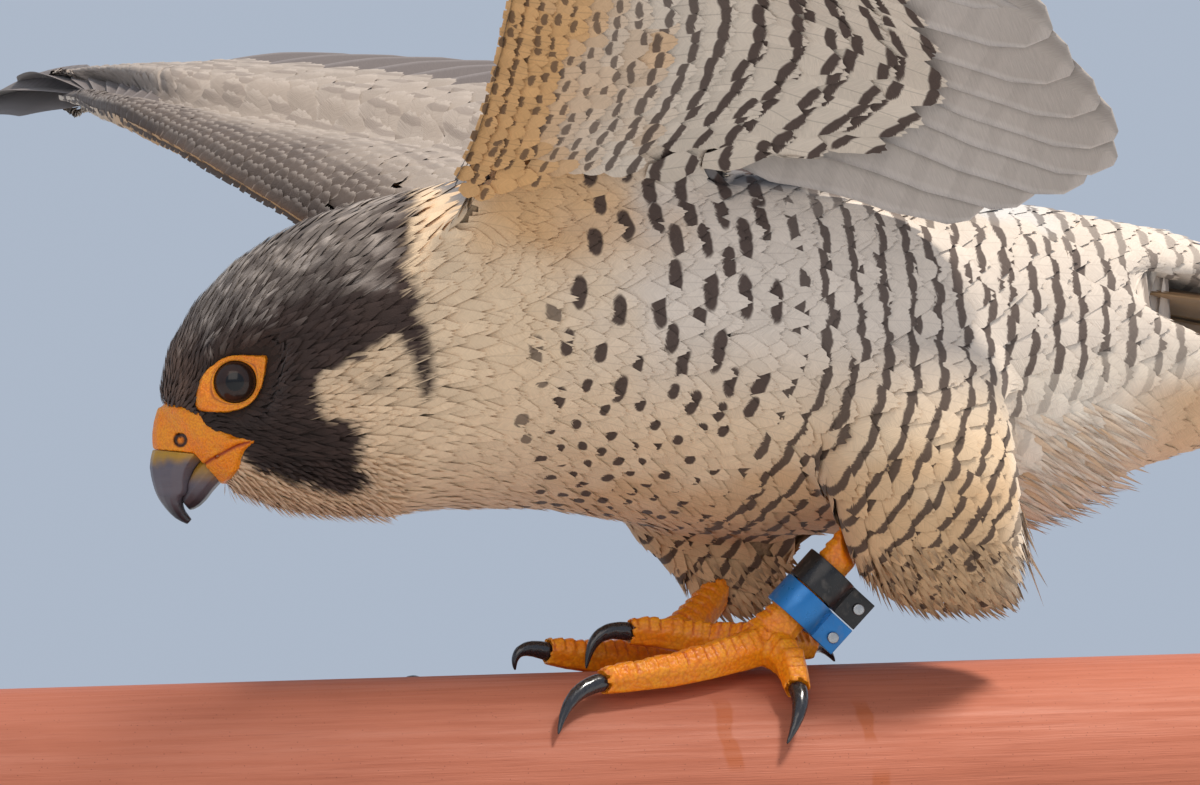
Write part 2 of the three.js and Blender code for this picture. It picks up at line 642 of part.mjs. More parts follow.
// The room that the tail takes out of the rump, which widens and deepens to the rear
function tailSlot() {
  const { along, left, up } = tailFrame();
  return loft(TAIL_SLOT.map(([reach, height, drop]) => {
    const centre = V(...TAIL_ROOT).addScaledVector(along, reach).addScaledVector(up, -drop);
    const width = TAIL_ROOT_HALF + TAIL_SLOT_SIDE + reach * TAIL_SLOT_SPREAD;
    return oval(centre, left, up, width, height, 0, 12);
  }));
}

// Leg band: two half sleeves with a riveted flange
const BAND = { centre: [55.5, -21.2, 146.5], radius: 7.6, wall: 1, half: 9.6, flange: 9, leaf: 1.1 };
const BAND_MOUTH = 0.16; // half the angle where the sleeve opens into its flange, in radians
const RIVET = { radius: 1.7, height: 0.7, inset: 3, along: 5.6 };

function bandHalf(half, grow) {
  const { radius, wall, flange, leaf } = BAND;
  const outline = new THREE.Shape();
  outline.absarc(0, 0, radius + wall + grow, BAND_MOUTH, 2 * Math.PI - BAND_MOUTH);
  outline.lineTo(radius + flange + grow, -leaf - grow);
  outline.lineTo(radius + flange + grow, leaf + grow);
  outline.closePath();
  if (!grow) {
    const hole = new THREE.Path();
    hole.absarc(0, 0, radius, 0, 2 * Math.PI, true);
    outline.holes.push(hole);
  }
  const depth = BAND.half - GAP / 2 + grow;
  const geometry = new THREE.ExtrudeGeometry(outline, { depth, bevelEnabled: false, curveSegments: 14 });
  geometry.translate(0, 0, half === "upper" ? GAP / 2 : -depth - GAP / 2);
  return solidOf(geometry.applyMatrix4(bandMatrix()));
}

function bandMatrix() {
  const axis = V(0.66, -0.24, 0.71).normalize();
  const toFlange = V(0.72, -0.1, -0.68);
  const side = V(0, 0, 0).crossVectors(axis, toFlange).normalize();
  const out = V(0, 0, 0).crossVectors(side, axis);
  return new THREE.Matrix4().makeBasis(out, side, axis).setPosition(...BAND.centre);
}

function rivet(sign) {
  const { radius, height, inset, along } = RIVET;
  const geometry = new THREE.CylinderGeometry(radius, radius, height, 16);
  geometry.translate(BAND.radius + BAND.flange - inset, -BAND.leaf - GAP - height / 2, sign * along);
  return solidOf(geometry.applyMatrix4(bandMatrix()));
}

// Eyes and lids
function eye(side, grow) {
  const radius = EYE_RADIUS + grow;
  return ball(inHead(0, side * EYE_OUT, 0), [radius, radius, radius], 12, 7);
}

// Bare skin round the eye: a ring of the narrow width, with a broad front corner and a
// pointed rear corner, each at its own turn in degrees and as sharp as its power says.
const LID_RING = {
  narrow: 1.6,
  corners: [{ turn: -150, more: 3.4, power: 2 }, { turn: 28, more: 2.6, power: 8 }],
};

function lids(side, grow) {
  const { narrow, corners } = LID_RING;
  const reach = (turn) => corners.reduce(
    (sum, corner) => sum + corner.more * Math.max(0, Math.cos(turn - rad(corner.turn))) ** corner.power,
    IRIS_OPENING + narrow + grow);
  const count = 16;
  const dome = Math.sqrt((EYE_RADIUS + GAP) ** 2 - IRIS_OPENING ** 2);
  const ringAt = (radius, out) =>
    Array.from({ length: count }, (_, i) => {
      const turn = (2 * Math.PI * i) / count;
      const r = radius(turn);
      return inHead(-r * Math.cos(turn), side * out, r * Math.sin(turn));
    });
  const opening = () => IRIS_OPENING - grow;
  const high = EYE_OUT + dome + LID_RISE + grow;
  const seat = EYE_RADIUS + GAP; // the ball that the lids' inner side follows
  const shoulder = seat * 0.9;
  const shoulderOut = EYE_OUT + Math.sqrt(seat ** 2 - shoulder ** 2);
  return torus([
    ringAt(opening, high),
    ringAt((turn) => reach(turn) - 0.4, high - 0.6),
    ringAt((turn) => Math.max(reach(turn), shoulder + grow), shoulderOut - grow),
    ringAt(opening, EYE_OUT + dome + 0.1 - grow),
  ]);
}

// A closed ring-shaped skin over loops that join back to the first
function torus(rings) {
  const count = rings[0].length;
  const faces = [];
  rings.forEach((_, k) => {
    const next = ((k + 1) % rings.length) * count;
    for (let i = 0; i < count; i++) {
      const j = (i + 1) % count;
      const a = k * count + i;
      const b = k * count + j;
      faces.push(a, b, next + j, a, next + j, next + i);
    }
  });
  return outward(rings.flat(), faces);
}

// Perch and stand
function rail(grow) {
  const geometry = new THREE.CylinderGeometry(
    RAIL_RADIUS + grow, RAIL_RADIUS + grow, RAIL_LENGTH + 2 * grow, 48);
  geometry.rotateZ(Math.PI / 2);
  geometry.translate(0, 0, RAIL_AXIS_HEIGHT);
  return solidOf(geometry);
}

function base() {
  const [length, width, height] = BASE_SIZE;
  const geometry = new THREE.BoxGeometry(length, width, height);
  geometry.translate(0, 0, height / 2);
  return solidOf(geometry);
}

function rod(x) {
  const foot = BASE_SIZE[2] + GAP;
  const top = RAIL_AXIS_HEIGHT;
  const geometry = new THREE.CylinderGeometry(ROD_RADIUS, ROD_RADIUS, top - foot, 24);
  geometry.rotateX(Math.PI / 2);
  geometry.translate(x, 0, (top + foot) / 2);
  return solidOf(geometry).subtract(rail(GAP));
}

// Assembly
const group = new THREE.Group();
function place(name, solid, material) {
  const mesh = new THREE.Mesh(geometryOf(largest(solid)), material);
  mesh.name = name;
  group.add(mesh);
}

const whole = bodyForm(0);
const grown = bodyForm(GAP);
const headEnd = inHead(-32, 0, 3);
const neckEnd = V(-41, 0, 223);
const parted = whole
  .subtract(partingPlate(headEnd, headForward))
  .subtract(partingPlate(neckEnd, V(1, 0, 0.04)));
const centreX = (solid) => {
  const box = solid.boundingBox();
  return box.min[0] + box.max[0];
};
const [headCore, neckCore, torsoCore] = parted
  .decompose()
  .filter((s) => s.volume() > 1000)
  .sort((a, b) => centreX(a) - centreX(b));

const gapes = (grow) => [1, -1].map((side) => faceLimb(GAPE, side, grow));
const cere = union([billForm(CERE_SECTIONS, 0, 6), ...gapes(0)]);
const upperBill = billForm(UPPER_BILL_SECTIONS, 0, 14);
const lowerBill = billForm(LOWER_BILL_SECTIONS, 0, 7);
const faceCut = union([
  billForm(CERE_SECTIONS, GAP, 6),
  billForm(UPPER_BILL_SECTIONS, GAP, 8),
  billForm(LOWER_BILL_SECTIONS, GAP, 7),
  ...gapes(GAP),
  ...[1, -1].flatMap((side) => [eye(side, GAP), lids(side, GAP)]),
]);
const brows = [1, -1].map((side) => faceLimb(BROW, side));
const mouthLines = [1, -1].map((side) => faceLimb(MOUTH_LINE, side));
place("head", union([headCore, ...brows]).subtract(union([faceCut, ...mouthLines])), HOOD);
const pits = [1, -1].map((side) => nostril(side, NOSTRIL.pit));
const knobs = [1, -1].map((side) => nostril(side, NOSTRIL.knob));
place("cere", cere
  .subtract(union([billForm(UPPER_BILL_SECTIONS, GAP, 14), ...pits]))
  .add(union(knobs)), YELLOW_SKIN);
place("bill_upper", upperBill, BILL_HORN);
const aboveMouth = union([
  billForm(CERE_SECTIONS, GAP, 6),
  billForm(UPPER_BILL_SECTIONS, GAP, 14),
  ...gapes(GAP),
]);
place("bill_lower", lowerBill.subtract(aboveMouth), BILL_HORN);
for (const [name, side] of [["left", 1], ["right", -1]]) {
  place("eye_" + name, eye(side, 0), EYE_DARK);
  place("lids_" + name, lids(side, 0).subtract(eye(side, GAP)), YELLOW_SKIN);
}
place("neck", neckCore, BREAST);
place("tail", tail(), SLATE);
place("torso", torsoCore.subtract(tailSlot()), BARRED);
for (const side of ["left", "right"]) {
  const leg = thigh(side, 0).subtract(grown);
  const band = side === "left" ? bandHalf("upper", GAP).add(bandHalf("lower", GAP)) : null;
  place("thigh_" + side, band ? leg.subtract(band) : leg, BARRED);
  const around = [thigh(side, GAP), grown, rail(GAP)];
  around.push(...FEET[side].toes.map((toe) => clawOf(toe, GAP)));
  place("foot_" + side, foot(side).subtract(union(around)), YELLOW_SKIN);
  FEET[side].toes.forEach((toe, k) =>
    place("claw_" + side + "_" + TOE_NAMES[k], clawOf(toe, 0).subtract(rail(GAP)), CLAW_HORN));
  place("wing_" + side, wing(side).subtract(grown), side === "left" ? UNDERWING : SLATE);
}
place("leg_band_upper", bandHalf("upper", 0), BAND_BLACK);
place("leg_band_lower", bandHalf("lower", 0), BAND_BLUE);
place("leg_band_rivet_upper", rivet(1), RIVET_METAL);
place("leg_band_rivet_lower", rivet(-1), RIVET_METAL);
place("perch_rail", rail(0), RAIL_PAINT);
place("stand_base", base(), STAND_METAL);
place("stand_rod_front", rod(-ROD_SPACING / 2), STAND_METAL);
place("stand_rod_back", rod(ROD_SPACING / 2), STAND_METAL);

export default group;
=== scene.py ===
"""Dresses the peregrine falcon part: skin, plumage, bare parts, leg band, painted rail and stand.

Lengths in the tables are millimetres in the part's frame: +Z up, the bird faces -X, its left
side is at -Y. Finished meshes are in metres, with their objects at the origin.
"""

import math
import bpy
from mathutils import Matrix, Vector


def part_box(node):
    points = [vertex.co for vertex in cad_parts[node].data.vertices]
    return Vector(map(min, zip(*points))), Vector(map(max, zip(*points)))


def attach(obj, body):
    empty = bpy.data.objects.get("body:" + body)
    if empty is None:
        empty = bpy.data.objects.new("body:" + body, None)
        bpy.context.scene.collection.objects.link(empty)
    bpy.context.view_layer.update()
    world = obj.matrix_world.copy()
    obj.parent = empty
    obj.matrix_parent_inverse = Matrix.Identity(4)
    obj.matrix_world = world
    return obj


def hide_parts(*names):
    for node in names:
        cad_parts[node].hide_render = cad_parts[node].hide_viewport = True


bl_info = {
    "name": "Peregrine Falcon on a Rail",
    "version": (1, 0, 0),
    "blender": (4, 5, 0),
    "location": "View3D > Sidebar > Falcon",
    "description": "Builds the plumage, bare parts, leg band, rail and stand of a life-size falcon",
    "category": "Object",
}

import bmesh
import bpy
import numpy as np
from bpy.props import FloatProperty, FloatVectorProperty, PointerProperty
from mathutils import Matrix, Vector
from mathutils.bvhtree import BVHTree
from mathutils.kdtree import KDTree

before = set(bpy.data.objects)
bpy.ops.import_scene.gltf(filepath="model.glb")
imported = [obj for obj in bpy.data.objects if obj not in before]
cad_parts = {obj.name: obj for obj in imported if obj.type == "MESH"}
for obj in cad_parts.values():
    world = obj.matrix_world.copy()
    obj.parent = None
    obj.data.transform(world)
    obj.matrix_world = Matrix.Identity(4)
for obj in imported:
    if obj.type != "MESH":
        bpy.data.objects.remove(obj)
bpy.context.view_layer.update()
MM = 0.001
SEED = 20
HIDE = {}
# Most triangles in one feather piece.
PIECE_LIMIT = 190000
# Gauge of a feather without bars or spots: half width, way to the next mark, strength.
UNMARKED = (1.0, 500.0, 0.0)
# How far the feathers' rows bend down on flank and thigh: top and reach of the bend, and its slope.
BEND_TOP, BEND_REACH, BEND = 228, 95, 0.62
# Voxel sizes of the smooth skins, in metres.
SKIN_VOXEL, FACE_VOXEL, BILL_VOXEL, FOOT_VOXEL = 0.0018, 0.00042, 0.00028, 0.0005
# Roundings of the band's and the rivets' edges, in metres.
BAND_EDGE, RIVET_EDGE = 0.0002, 0.00025
# Lamps: name, place in metres, watts, size in metres, colour. All of them look at LAMP_AIM.
LAMPS = (
    ("sun_panel", (1.1, -0.95, 2.9), 112, 0.5, (1.0, 0.94, 0.85)),
    ("front_panel", (-1.3, -2.1, 1.3), 13, 1.7, (1.0, 0.87, 0.74)),
)
SKY_LIGHT = 0.62
LAMP_AIM = Vector((0, 0, 0.2))
FLOOR_HALF = 6.0

# Sizes shared with the solids

HEAD_CENTRE = np.array([-107.3, 13.0, 214.0])
HEAD_TURN = math.radians(20)
HEAD_ROLL = math.radians(4)
HEAD_FORWARD = np.array([-math.cos(HEAD_TURN), math.sin(HEAD_TURN), 0.0])
HEAD_LEFT = np.array(
    [
        -math.sin(HEAD_TURN) * math.cos(HEAD_ROLL),
        -math.cos(HEAD_TURN) * math.cos(HEAD_ROLL),
        -math.sin(HEAD_ROLL),
    ]
)
HEAD_UP = np.cross(HEAD_FORWARD, HEAD_LEFT)
BODY_ROLL = math.radians(10)
EYE_RADIUS = 8.5
EYE_OUT = 13.0
# Line through the middle of the body from the bill's root to the rump: x, y, z, half height.
BODY_LINE = [
    (-126, 19, 204, 14), (-112, 14, 209, 30), (-86, 5, 217, 42), (-66, 0, 219, 46),
    (-34, 0, 223, 48), (17, 0, 222, 52), (73, 0, 219, 53), (116, 0, 215, 50),
    (156, 0, 217, 41), (196, 0, 218, 30), (228, 0, 209, 11),
]
FIRST_PRIMARY = 12
FLIGHT_COUNT = 22
FLIGHT_WIDTH = 28.0
FLIGHT_TILT = math.radians(7)
FLIGHT_ARCH = 4.0
# Wing flesh: leading edge point, rear edge point, thickness. Flights: number, root, tip, up.
WINGS = {
    "left": {
        "flesh": [
            (-68, -37, 250, 28, -33, 258, 26),
            (-56, -58, 280, 32, -58, 288, 20),
            (-52, -82, 318, 16, -77, 320, 15),
            (-51, -95, 350, -12, -94, 349, 12),
            (-53, -105, 380, -35, -108, 383, 10),
            (-47, -124, 412, -31, -126, 414, 8),
            (-40, -142, 446, -28, -144, 447, 6),
            (-35, -158, 478, -29, -158, 478, 3.5),
        ],
        "flights": [
            (0, 26, -46, 276, 104, -52, 258, 0, 0.8, 0.6),
            (3, 24, -66, 308, 138, -70, 268, 0, 0.86, 0.5),
            (7, -6, -88, 342, 110, -92, 303, 0, 0.88, 0.47),
            (11, -40, -107, 378, 86, -112, 356, 0, 0.88, 0.47),
            (12, -41, -112, 389, 80, -121, 380, 0, 0.88, 0.47),
            (16, -37, -129, 421, 64, -166, 478, 0, 0.88, 0.47),
            (19, -34, -141, 444, 40, -218, 590, 0, 0.88, 0.47),
            (20, -33, -145, 451, 22, -241, 638, 0, 0.88, 0.47),
            (21, -33, -149, 458, 5, -243, 640, 0, 0.88, 0.47),
        ],
    },
    "right": {
        "flesh": [
            (-58, 28, 246, 22, 36, 268, 26),
            (-77, 60, 268, 8, 78, 284, 20),
            (-89, 90, 284, -14, 104, 292, 15),
            (-95, 118, 295, -46, 126, 300, 12),
            (-100, 150, 306, -82, 154, 310, 10),
            (-99, 180, 312, -83, 182, 315, 8),
            (-96, 208, 318, -83, 209, 320, 6),
            (-92, 238, 322, -85, 238, 323, 3.5),
        ],
        "flights": [
            (0, 14, 62, 276, 84, 78, 286, -0.15, -0.5, 0.85),
            (3, -6, 98, 289, 96, 142, 311, -0.14, -0.48, 0.86),
            (7, -44, 126, 300, 66, 178, 322, -0.14, -0.42, 0.89),
            (11, -86, 154, 311, 18, 222, 331, -0.18, -0.25, 0.95),
            (12, -87, 161, 313, 6, 242, 334, -0.2, -0.2, 0.96),
            (16, -86, 193, 318, -28, 328, 341, -0.2, -0.12, 0.97),
            (19, -85, 215, 321, -46, 420, 344, -0.2, -0.08, 0.98),
            (20, -85, 222, 322, -54, 458, 343, -0.2, -0.08, 0.98),
            (21, -85, 229, 322, -62, 446, 341, -0.2, -0.08, 0.98),
        ],
    },
}
# Where along the wing's flesh rows each flight number grows.
FLIGHT_ROWS = [(0, 0.7), (3, 1.5), (7, 2.8), (11, 3.9), (12, 4.1), (16, 5.3), (19, 5.95), (21, 6.4)]
TAIL_ROOT = np.array([130.0, 0.0, 240.0])
TAIL_LENGTH = 158.0
TAIL_SLOPE = math.radians(10)
TAIL_PAIRS = 6
TAIL_SPREAD = math.radians(5.5)
TAIL_WIDTH = 24.0
TAIL_STACK = 1.0
TAIL_ROOT_HALF = 13.0
TAIL_QUILL = 10
# Outlines of the long feathers: shares of the length, and of the width there.
ROUND_OUTLINE = ([0, 0.06, 0.25, 0.7, 0.9, 0.97, 1], [0.28, 0.4, 0.85, 1, 0.8, 0.5, 0.12])
POINTED_OUTLINE = ([0, 0.06, 0.3, 0.78, 0.93, 1], [0.3, 0.5, 1, 0.8, 0.5, 0.1])

# Outline of the dark hood with its moustache and hind-neck stripe: forward, up in the head's frame.
HOOD_LINE = [
    (22.4, -6.8), (27.4, 0.4), (29.2, 20.5), (-1.2, 47), (-28.2, 58), (-56, 62),
    (-52.5, 40.2), (-50.5, 31.6), (-52.9, 26.9), (-54, 20.2), (-53.8, 15.5), (-56.3, 12.7),
    (-58, 6.7), (-58.1, 0), (-56.5, -5.2), (-54.7, -8.5), (-53.9, -3.1), (-51.9, 3.6),
    (-49.8, 9), (-47.3, 13.1), (-43.5, 8), (-38.7, 6.5), (-32.7, 4.5), (-27.2, 1.7),
    (-23.7, -1.8), (-23.2, -6.4), (-25.3, -10.5), (-29.9, -13.1), (-34.5, -14.9), (-36.6, -18.3),
    (-35.4, -22.9), (-34.6, -26.2), (-37.5, -29.4), (-36.1, -32), (-31, -34.4), (-27.6, -33.9),
    (-22.4, -32.5), (-17.8, -30.8), (-11.3, -28.2), (-6, -26.3), (-2.1, -24.2), (0.7, -21),
    (-1.1, -18.1), (2.9, -16.6), (8.1, -14.4), (12.5, -8.9), (17.8, -7),
]
# The part of the crown and nape inside the hood that is paled to a silvery grey as painted sheen.
SHEEN_LINE = [
    (15, 13), (20, 20), (10, 34), (-7.4, 44), (-21, 52), (-34.6, 58), (-52, 60),
    (-47, 38.5), (-40.4, 28.7), (-26.9, 26), (-13.5, 23.9), (0, 17.9), (8.2, 12.9),
]

# Border of the bare skin: over the cere, back to the gape, and down the lower bill's root.
BARE_LINE = [
    (34, -4), (22.5, -6.6), (17.1, -7.6), (12.2, -9.4), (10.2, -13), (5.2, -15.4), (0.9, -16.6),
    (-3.6, -17.6), (-0.8, -19.9), (0.7, -22.8), (1.5, -25.6), (3.8, -28), (7.2, -30.2),
    (12, -38), (20, -46), (34, -46),
]
# Outline of the bare ring round the eye.
RING_LINE = [
    (-9.1, 7.4), (-6.6, 7.1), (-3.7, 7.2), (-0.8, 7.2), (2.8, 6.6), (5.8, 4.7), (9.5, 1.3),
    (10.6, -1.9), (11.4, -6.2), (11, -7.7), (8.5, -8.2), (4.2, -8.4), (0.5, -7.9), (-2.4, -7),
    (-4.6, -5.5), (-6.5, -2.7), (-7.8, 0.9), (-8.5, 4.1),
]
# The mouth's line from the gape to the bill's edge.
MOUTH_LINE = [
    (-3.4, -17.7), (0.3, -18.6), (3.2, -19.9), (6.9, -21.6), (9.9, -23.2), (12.1, -24.9),
    (14, -27), (15.6, -29.8), (16.6, -33.4),
]
NOSTRIL = (17.2, -16.2)
NOSTRIL_RADIUS = 2.3
IRIS_RADIUS = 6.1
# How far out from the head's middle plane the ring's inner edge lies.
RING_LEVEL = 19.15
# Middle lines of the toes and of the shin.
TOES = {
    "left": [
        [(44, -13, 132), (53, -6, 132), (62, -1, 131.5)],
        [(40, -14, 132.5), (27, -5, 134.3), (14, -3, 136.6), (4.7, -2, 137.2)],
        [(40, -19, 131), (24, -24, 127.5), (8, -27.5, 124.4), (-15, -30.5, 121.6)],
        [(42, -19, 131), (45, -27, 126.6), (44.5, -35, 117.4)],
        [(41.5, -17, 133), (52, -20, 143), (64, -25, 157), (76, -28, 170)],
    ],
    "right": [
        [(26, 16, 132), (33, 14, 131.5), (40, 13, 131)],
        [(22, 16, 131.5), (8, 11, 130.3), (-6, 9, 131), (-17.5, 8, 132.6)],
        [(22, 20, 130), (4, 26.5, 122.6), (-16, 31.5, 118), (-38, 34, 116.4)],
        [(24, 20, 131), (22, 29, 125.6), (16, 37, 114)],
        [(23.5, 18, 133), (36, 21, 142.5), (46.5, 25, 154), (56, 28, 168)],
    ],
}
SCUTE_PITCH = 3.3
# Drips down the rail's near side: place along it, lower and upper end, half width, in metres.
RAIL_DRIPS = (
    (0.022, 0.093, 0.118, 0.0032), (0.066, 0.1, 0.116, 0.0026), (0.067, 0.086, 0.095, 0.003),
)


def srgb(red, green, blue):
    """Linear colour from screen values of 0 to 255."""
    values = []
    for value in (red, green, blue):
        share = value / 255
        values.append(share / 12.92 if share <= 0.04045 else ((share + 0.055) / 1.055) ** 2.4)
    return tuple(values)


def colour(name, value, note):
    return FloatVectorProperty(
        name=name, description=note, default=value, subtype="COLOR", size=3, min=0, max=1
    )


def size_property(name, value, note):
    return FloatProperty(name=name, description=note, default=value, unit="LENGTH", subtype="DISTANCE")


def angle_property(name, degrees, note):
    return FloatProperty(
        name=name, description=note, default=math.radians(degrees), unit="ROTATION", subtype="ANGLE"
    )


class FalconPlumage(bpy.types.PropertyGroup):
    """Sizes and colours of the feathers."""

    coat_depth: size_property("Coat Depth", 0.003, "How far the skin lies under the feathers")
    bar_pitch: size_property("Bar Pitch", 0.0089, "Distance from one dark bar to the next on a feather")
    bar_width: size_property("Bar Width", 0.0031, "Thickness of a dark bar")
    hood: colour("Hood", srgb(64, 49, 43), "Dark of the crown, moustache and neck stripe")
    # Silvery grey: painted sheen on the crown and nape; on the upper wing coverts, their own pale fringes
    # and tone.
    silver_and_sheen: colour("Silver", srgb(178, 165, 154), "Pale sheen on the crown and nape")
    forehead: colour("Forehead", srgb(118, 92, 76), "Brown of the forehead over the cere")
    cream: colour("Cream", srgb(232, 203, 168), "Throat, cheek and breast")
    flank: colour("Flank", srgb(220, 205, 190), "Pale ground of the barred flanks")
    belly: colour("Belly", srgb(214, 172, 126), "Warm ground of the belly and thighs")
    vent: colour("Vent", srgb(236, 222, 204), "Down round the vent")
    bar: colour("Bars", srgb(58, 43, 38), "Dark bars, spots and shafts")
    back: colour("Back", srgb(122, 117, 116), "Slate of the back")
    rump: colour("Rump", srgb(214, 210, 206), "Pale slate of the rump")
    wing_buff: colour("Wing Buff", srgb(214, 166, 112), "Golden leading edge under the wing")
    wing_pale: colour("Wing Lining", srgb(216, 200, 182), "Pale ground of the underwing coverts")
    wing_upper: colour("Wing Upper", srgb(156, 142, 130), "Grey of the upper wing coverts")
    flight_under: colour("Flights Under", srgb(188, 176, 166), "Underside of the flight feathers")
    flight_upper: colour("Flights Upper", srgb(104, 94, 90), "Upper side of the flight feathers")
    tail_upper: colour("Tail Upper", srgb(132, 120, 110), "Upper side of the tail")


class FalconBareParts(bpy.types.PropertyGroup):
    """Sizes and colours of the bill, eyes and feet."""

    yellow: colour("Bare Skin", srgb(250, 158, 18), "Cere, eye ring and feet")
    crease: colour("Creases", srgb(196, 84, 20), "Creases between the scutes")
    horn: colour("Bill", srgb(104, 96, 104), "Blue-grey horn of the bill")
    horn_tip: colour("Bill Tip", srgb(40, 36, 42), "Dark tip of the bill")
    claw: colour("Claws", srgb(22, 20, 22), "Claw horn")
    iris: colour("Iris", srgb(34, 20, 14), "Dark brown eye")
    scute_rise: size_property("Scute Rise", 0.0007, "Height of a toe scute's step")


class FalconBand(bpy.types.PropertyGroup):
    """Colours of the leg band."""

    upper: colour("Upper Half", srgb(34, 34, 36), "Anodised black half")
    lower: colour("Lower Half", srgb(28, 120, 190), "Anodised blue half")
    rivet: colour("Rivets", srgb(196, 198, 200), "Plain metal rivets")


class FalconPerch(bpy.types.PropertyGroup):
    """Sizes and colours of the rail and the stand."""

    paint: colour("Paint", srgb(184, 108, 82), "Faded terracotta paint of the rail")
    paint_dark: colour("Paint Shade", srgb(132, 66, 48), "Grain and weathering in the paint")
    stain: colour("Stains", srgb(168, 82, 34), "Orange-brown drips on the rail")
    stand: colour("Stand", srgb(64, 66, 70), "Powder-coated base and rods")
    edge: size_property("Edge Radius", 0.0015, "Rounding of the rail's and the stand's edges")


class FalconStage(bpy.types.PropertyGroup):
    """Camera, light and floor."""

    azimuth: angle_property("Azimuth", -20, "Camera's turn round the bird")
    elevation: angle_property("Elevation", -4, "Camera's height angle")
    roll: angle_property("Roll", 2.5, "Camera's roll")
    distance: size_property("Distance", 2.6, "Camera to the aim point")
    aim_height: size_property("Aim Height", 0.208, "Height of the point in the middle of the view")
    lens: FloatProperty(name="Lens", description="Focal length in millimetres", default=265.2)
    sensor: FloatProperty(name="Sensor", description="Sensor width in millimetres", default=36)
    sky: colour("Backdrop", srgb(214, 228, 248), "Pale blue of the backdrop")
    floor: colour("Floor", srgb(196, 198, 200), "Plain pale floor")


# Curves and surfaces


def unit(vectors):
    length = np.linalg.norm(vectors, axis=-1, keepdims=True)
    return vectors / np.maximum(length, 1e-9)


def smooth(value, low, high):
    """0 at low, 1 at high, easing at both ends."""
    share = np.clip((np.asarray(value, float) - low) / (high - low), 0, 1)
    return share * share * (3 - 2 * share)


def blend(a, b, share):
    share = np.asarray(share)[..., None]
    return np.asarray(a) * (1 - share) + np.asarray(b) * share


def spline(knots, rows, at):
    """Rows of numbers at the given places of the smooth curve through them."""
    knots = np.asarray(knots, float)
    rows = np.asarray(rows, float)
    at = np.clip(np.asarray(at, float), knots[0], knots[-1])
    i = np.clip(np.searchsorted(knots, at, side="right"), 1, len(knots) - 1)
    before = np.where(i >= 2, i - 2, i)
    after = np.where(i + 1 < len(knots), i + 1, i - 1)
    start, end = knots[i - 1], knots[i]
    half = (end - start) / 2
    back = half / (start - knots[before])
    on = half / (knots[after] - end)
    p = (at - start) / (end - start)
    weights = (
        (before, -back * p**3 + 2 * back * p**2 - back * p),
        (i - 1, (1 + back) * p**3 + (-1.5 - 2 * back) * p**2 + (back - 0.5) * p + 1),
        (i, (-1 - on) * p**3 + (1.5 + on) * p**2 + 0.5 * p),
        (after, on * p**3 - on * p**2),
    )
    return sum(rows[index] * weight[..., None] for index, weight in weights)


def value_noise(points, size, seed):
    """Smooth noise of 0 to 1 at points, with lumps about size across."""
    cell = np.asarray(points, float) / size
    corner = np.floor(cell).astype(np.int64)
    share = cell - corner
    share = share * share * (3 - 2 * share)
    total = np.zeros(len(cell))
    for k in range(8):
        step = np.array([k & 1, (k >> 1) & 1, (k >> 2) & 1])
        at = corner + step
        mixed = at[:, 0] * 73856093 ^ at[:, 1] * 19349663 ^ at[:, 2] * 83492791 ^ seed * 2654435
        mixed = (mixed ^ (mixed >> 13)) * 1274126177
        value = ((mixed ^ (mixed >> 16)) & 0xFFFF) / 65535
        weight = np.prod(np.where(step == 1, share, 1 - share), axis=1)
        total += value * weight
    return total


def line_distance(points, line):
    """Distance inside (positive) or outside (negative) a closed line."""
    line = np.asarray(line, float)
    nearest = np.full(len(points), 1e9)
    inside = np.zeros(len(points), bool)
    for a, b in zip(line, np.roll(line, -1, axis=0)):
        edge = b - a
        share = np.clip(((points - a) @ edge) / (edge @ edge), 0, 1)
        gap = np.linalg.norm(points - a - share[:, None] * edge, axis=1)
        nearest = np.minimum(nearest, gap)
        crosses = (a[1] > points[:, 1]) != (b[1] > points[:, 1])
        height = np.where(b[1] == a[1], 1, b[1] - a[1])
        meet = a[0] + (points[:, 1] - a[1]) * (b[0] - a[0]) / height
        inside ^= crosses & (points[:, 0] < meet)
    return np.where(inside, nearest, -nearest)


def in_head(points):
    """Forward, left, up of points in the head's frame."""
    return (np.asarray(points) - HEAD_CENTRE) @ np.stack([HEAD_FORWARD, HEAD_LEFT, HEAD_UP]).T


def head_point(forward, left, up):
    return HEAD_CENTRE + forward * HEAD_FORWARD + left * HEAD_LEFT + up * HEAD_UP


# The point of the bill's root from which the feathers of the head fan out.
FAN_SOURCE = head_point(27, 0, -15)


def rows_of(*values):
    """Rows of numbers, from values spread over each other's shape."""
    return np.stack(np.broadcast_arrays(*values), axis=-1)


def point_tree(points):
    tree = KDTree(len(points))
    for index, point in enumerate(points.tolist()):
        tree.insert(point, index)
    tree.balance()
    return tree


def run_along(line):
    """Distance from the line's start to each of its points."""
    return np.concatenate([[0], np.cumsum(np.linalg.norm(np.diff(line, axis=0), axis=1))])


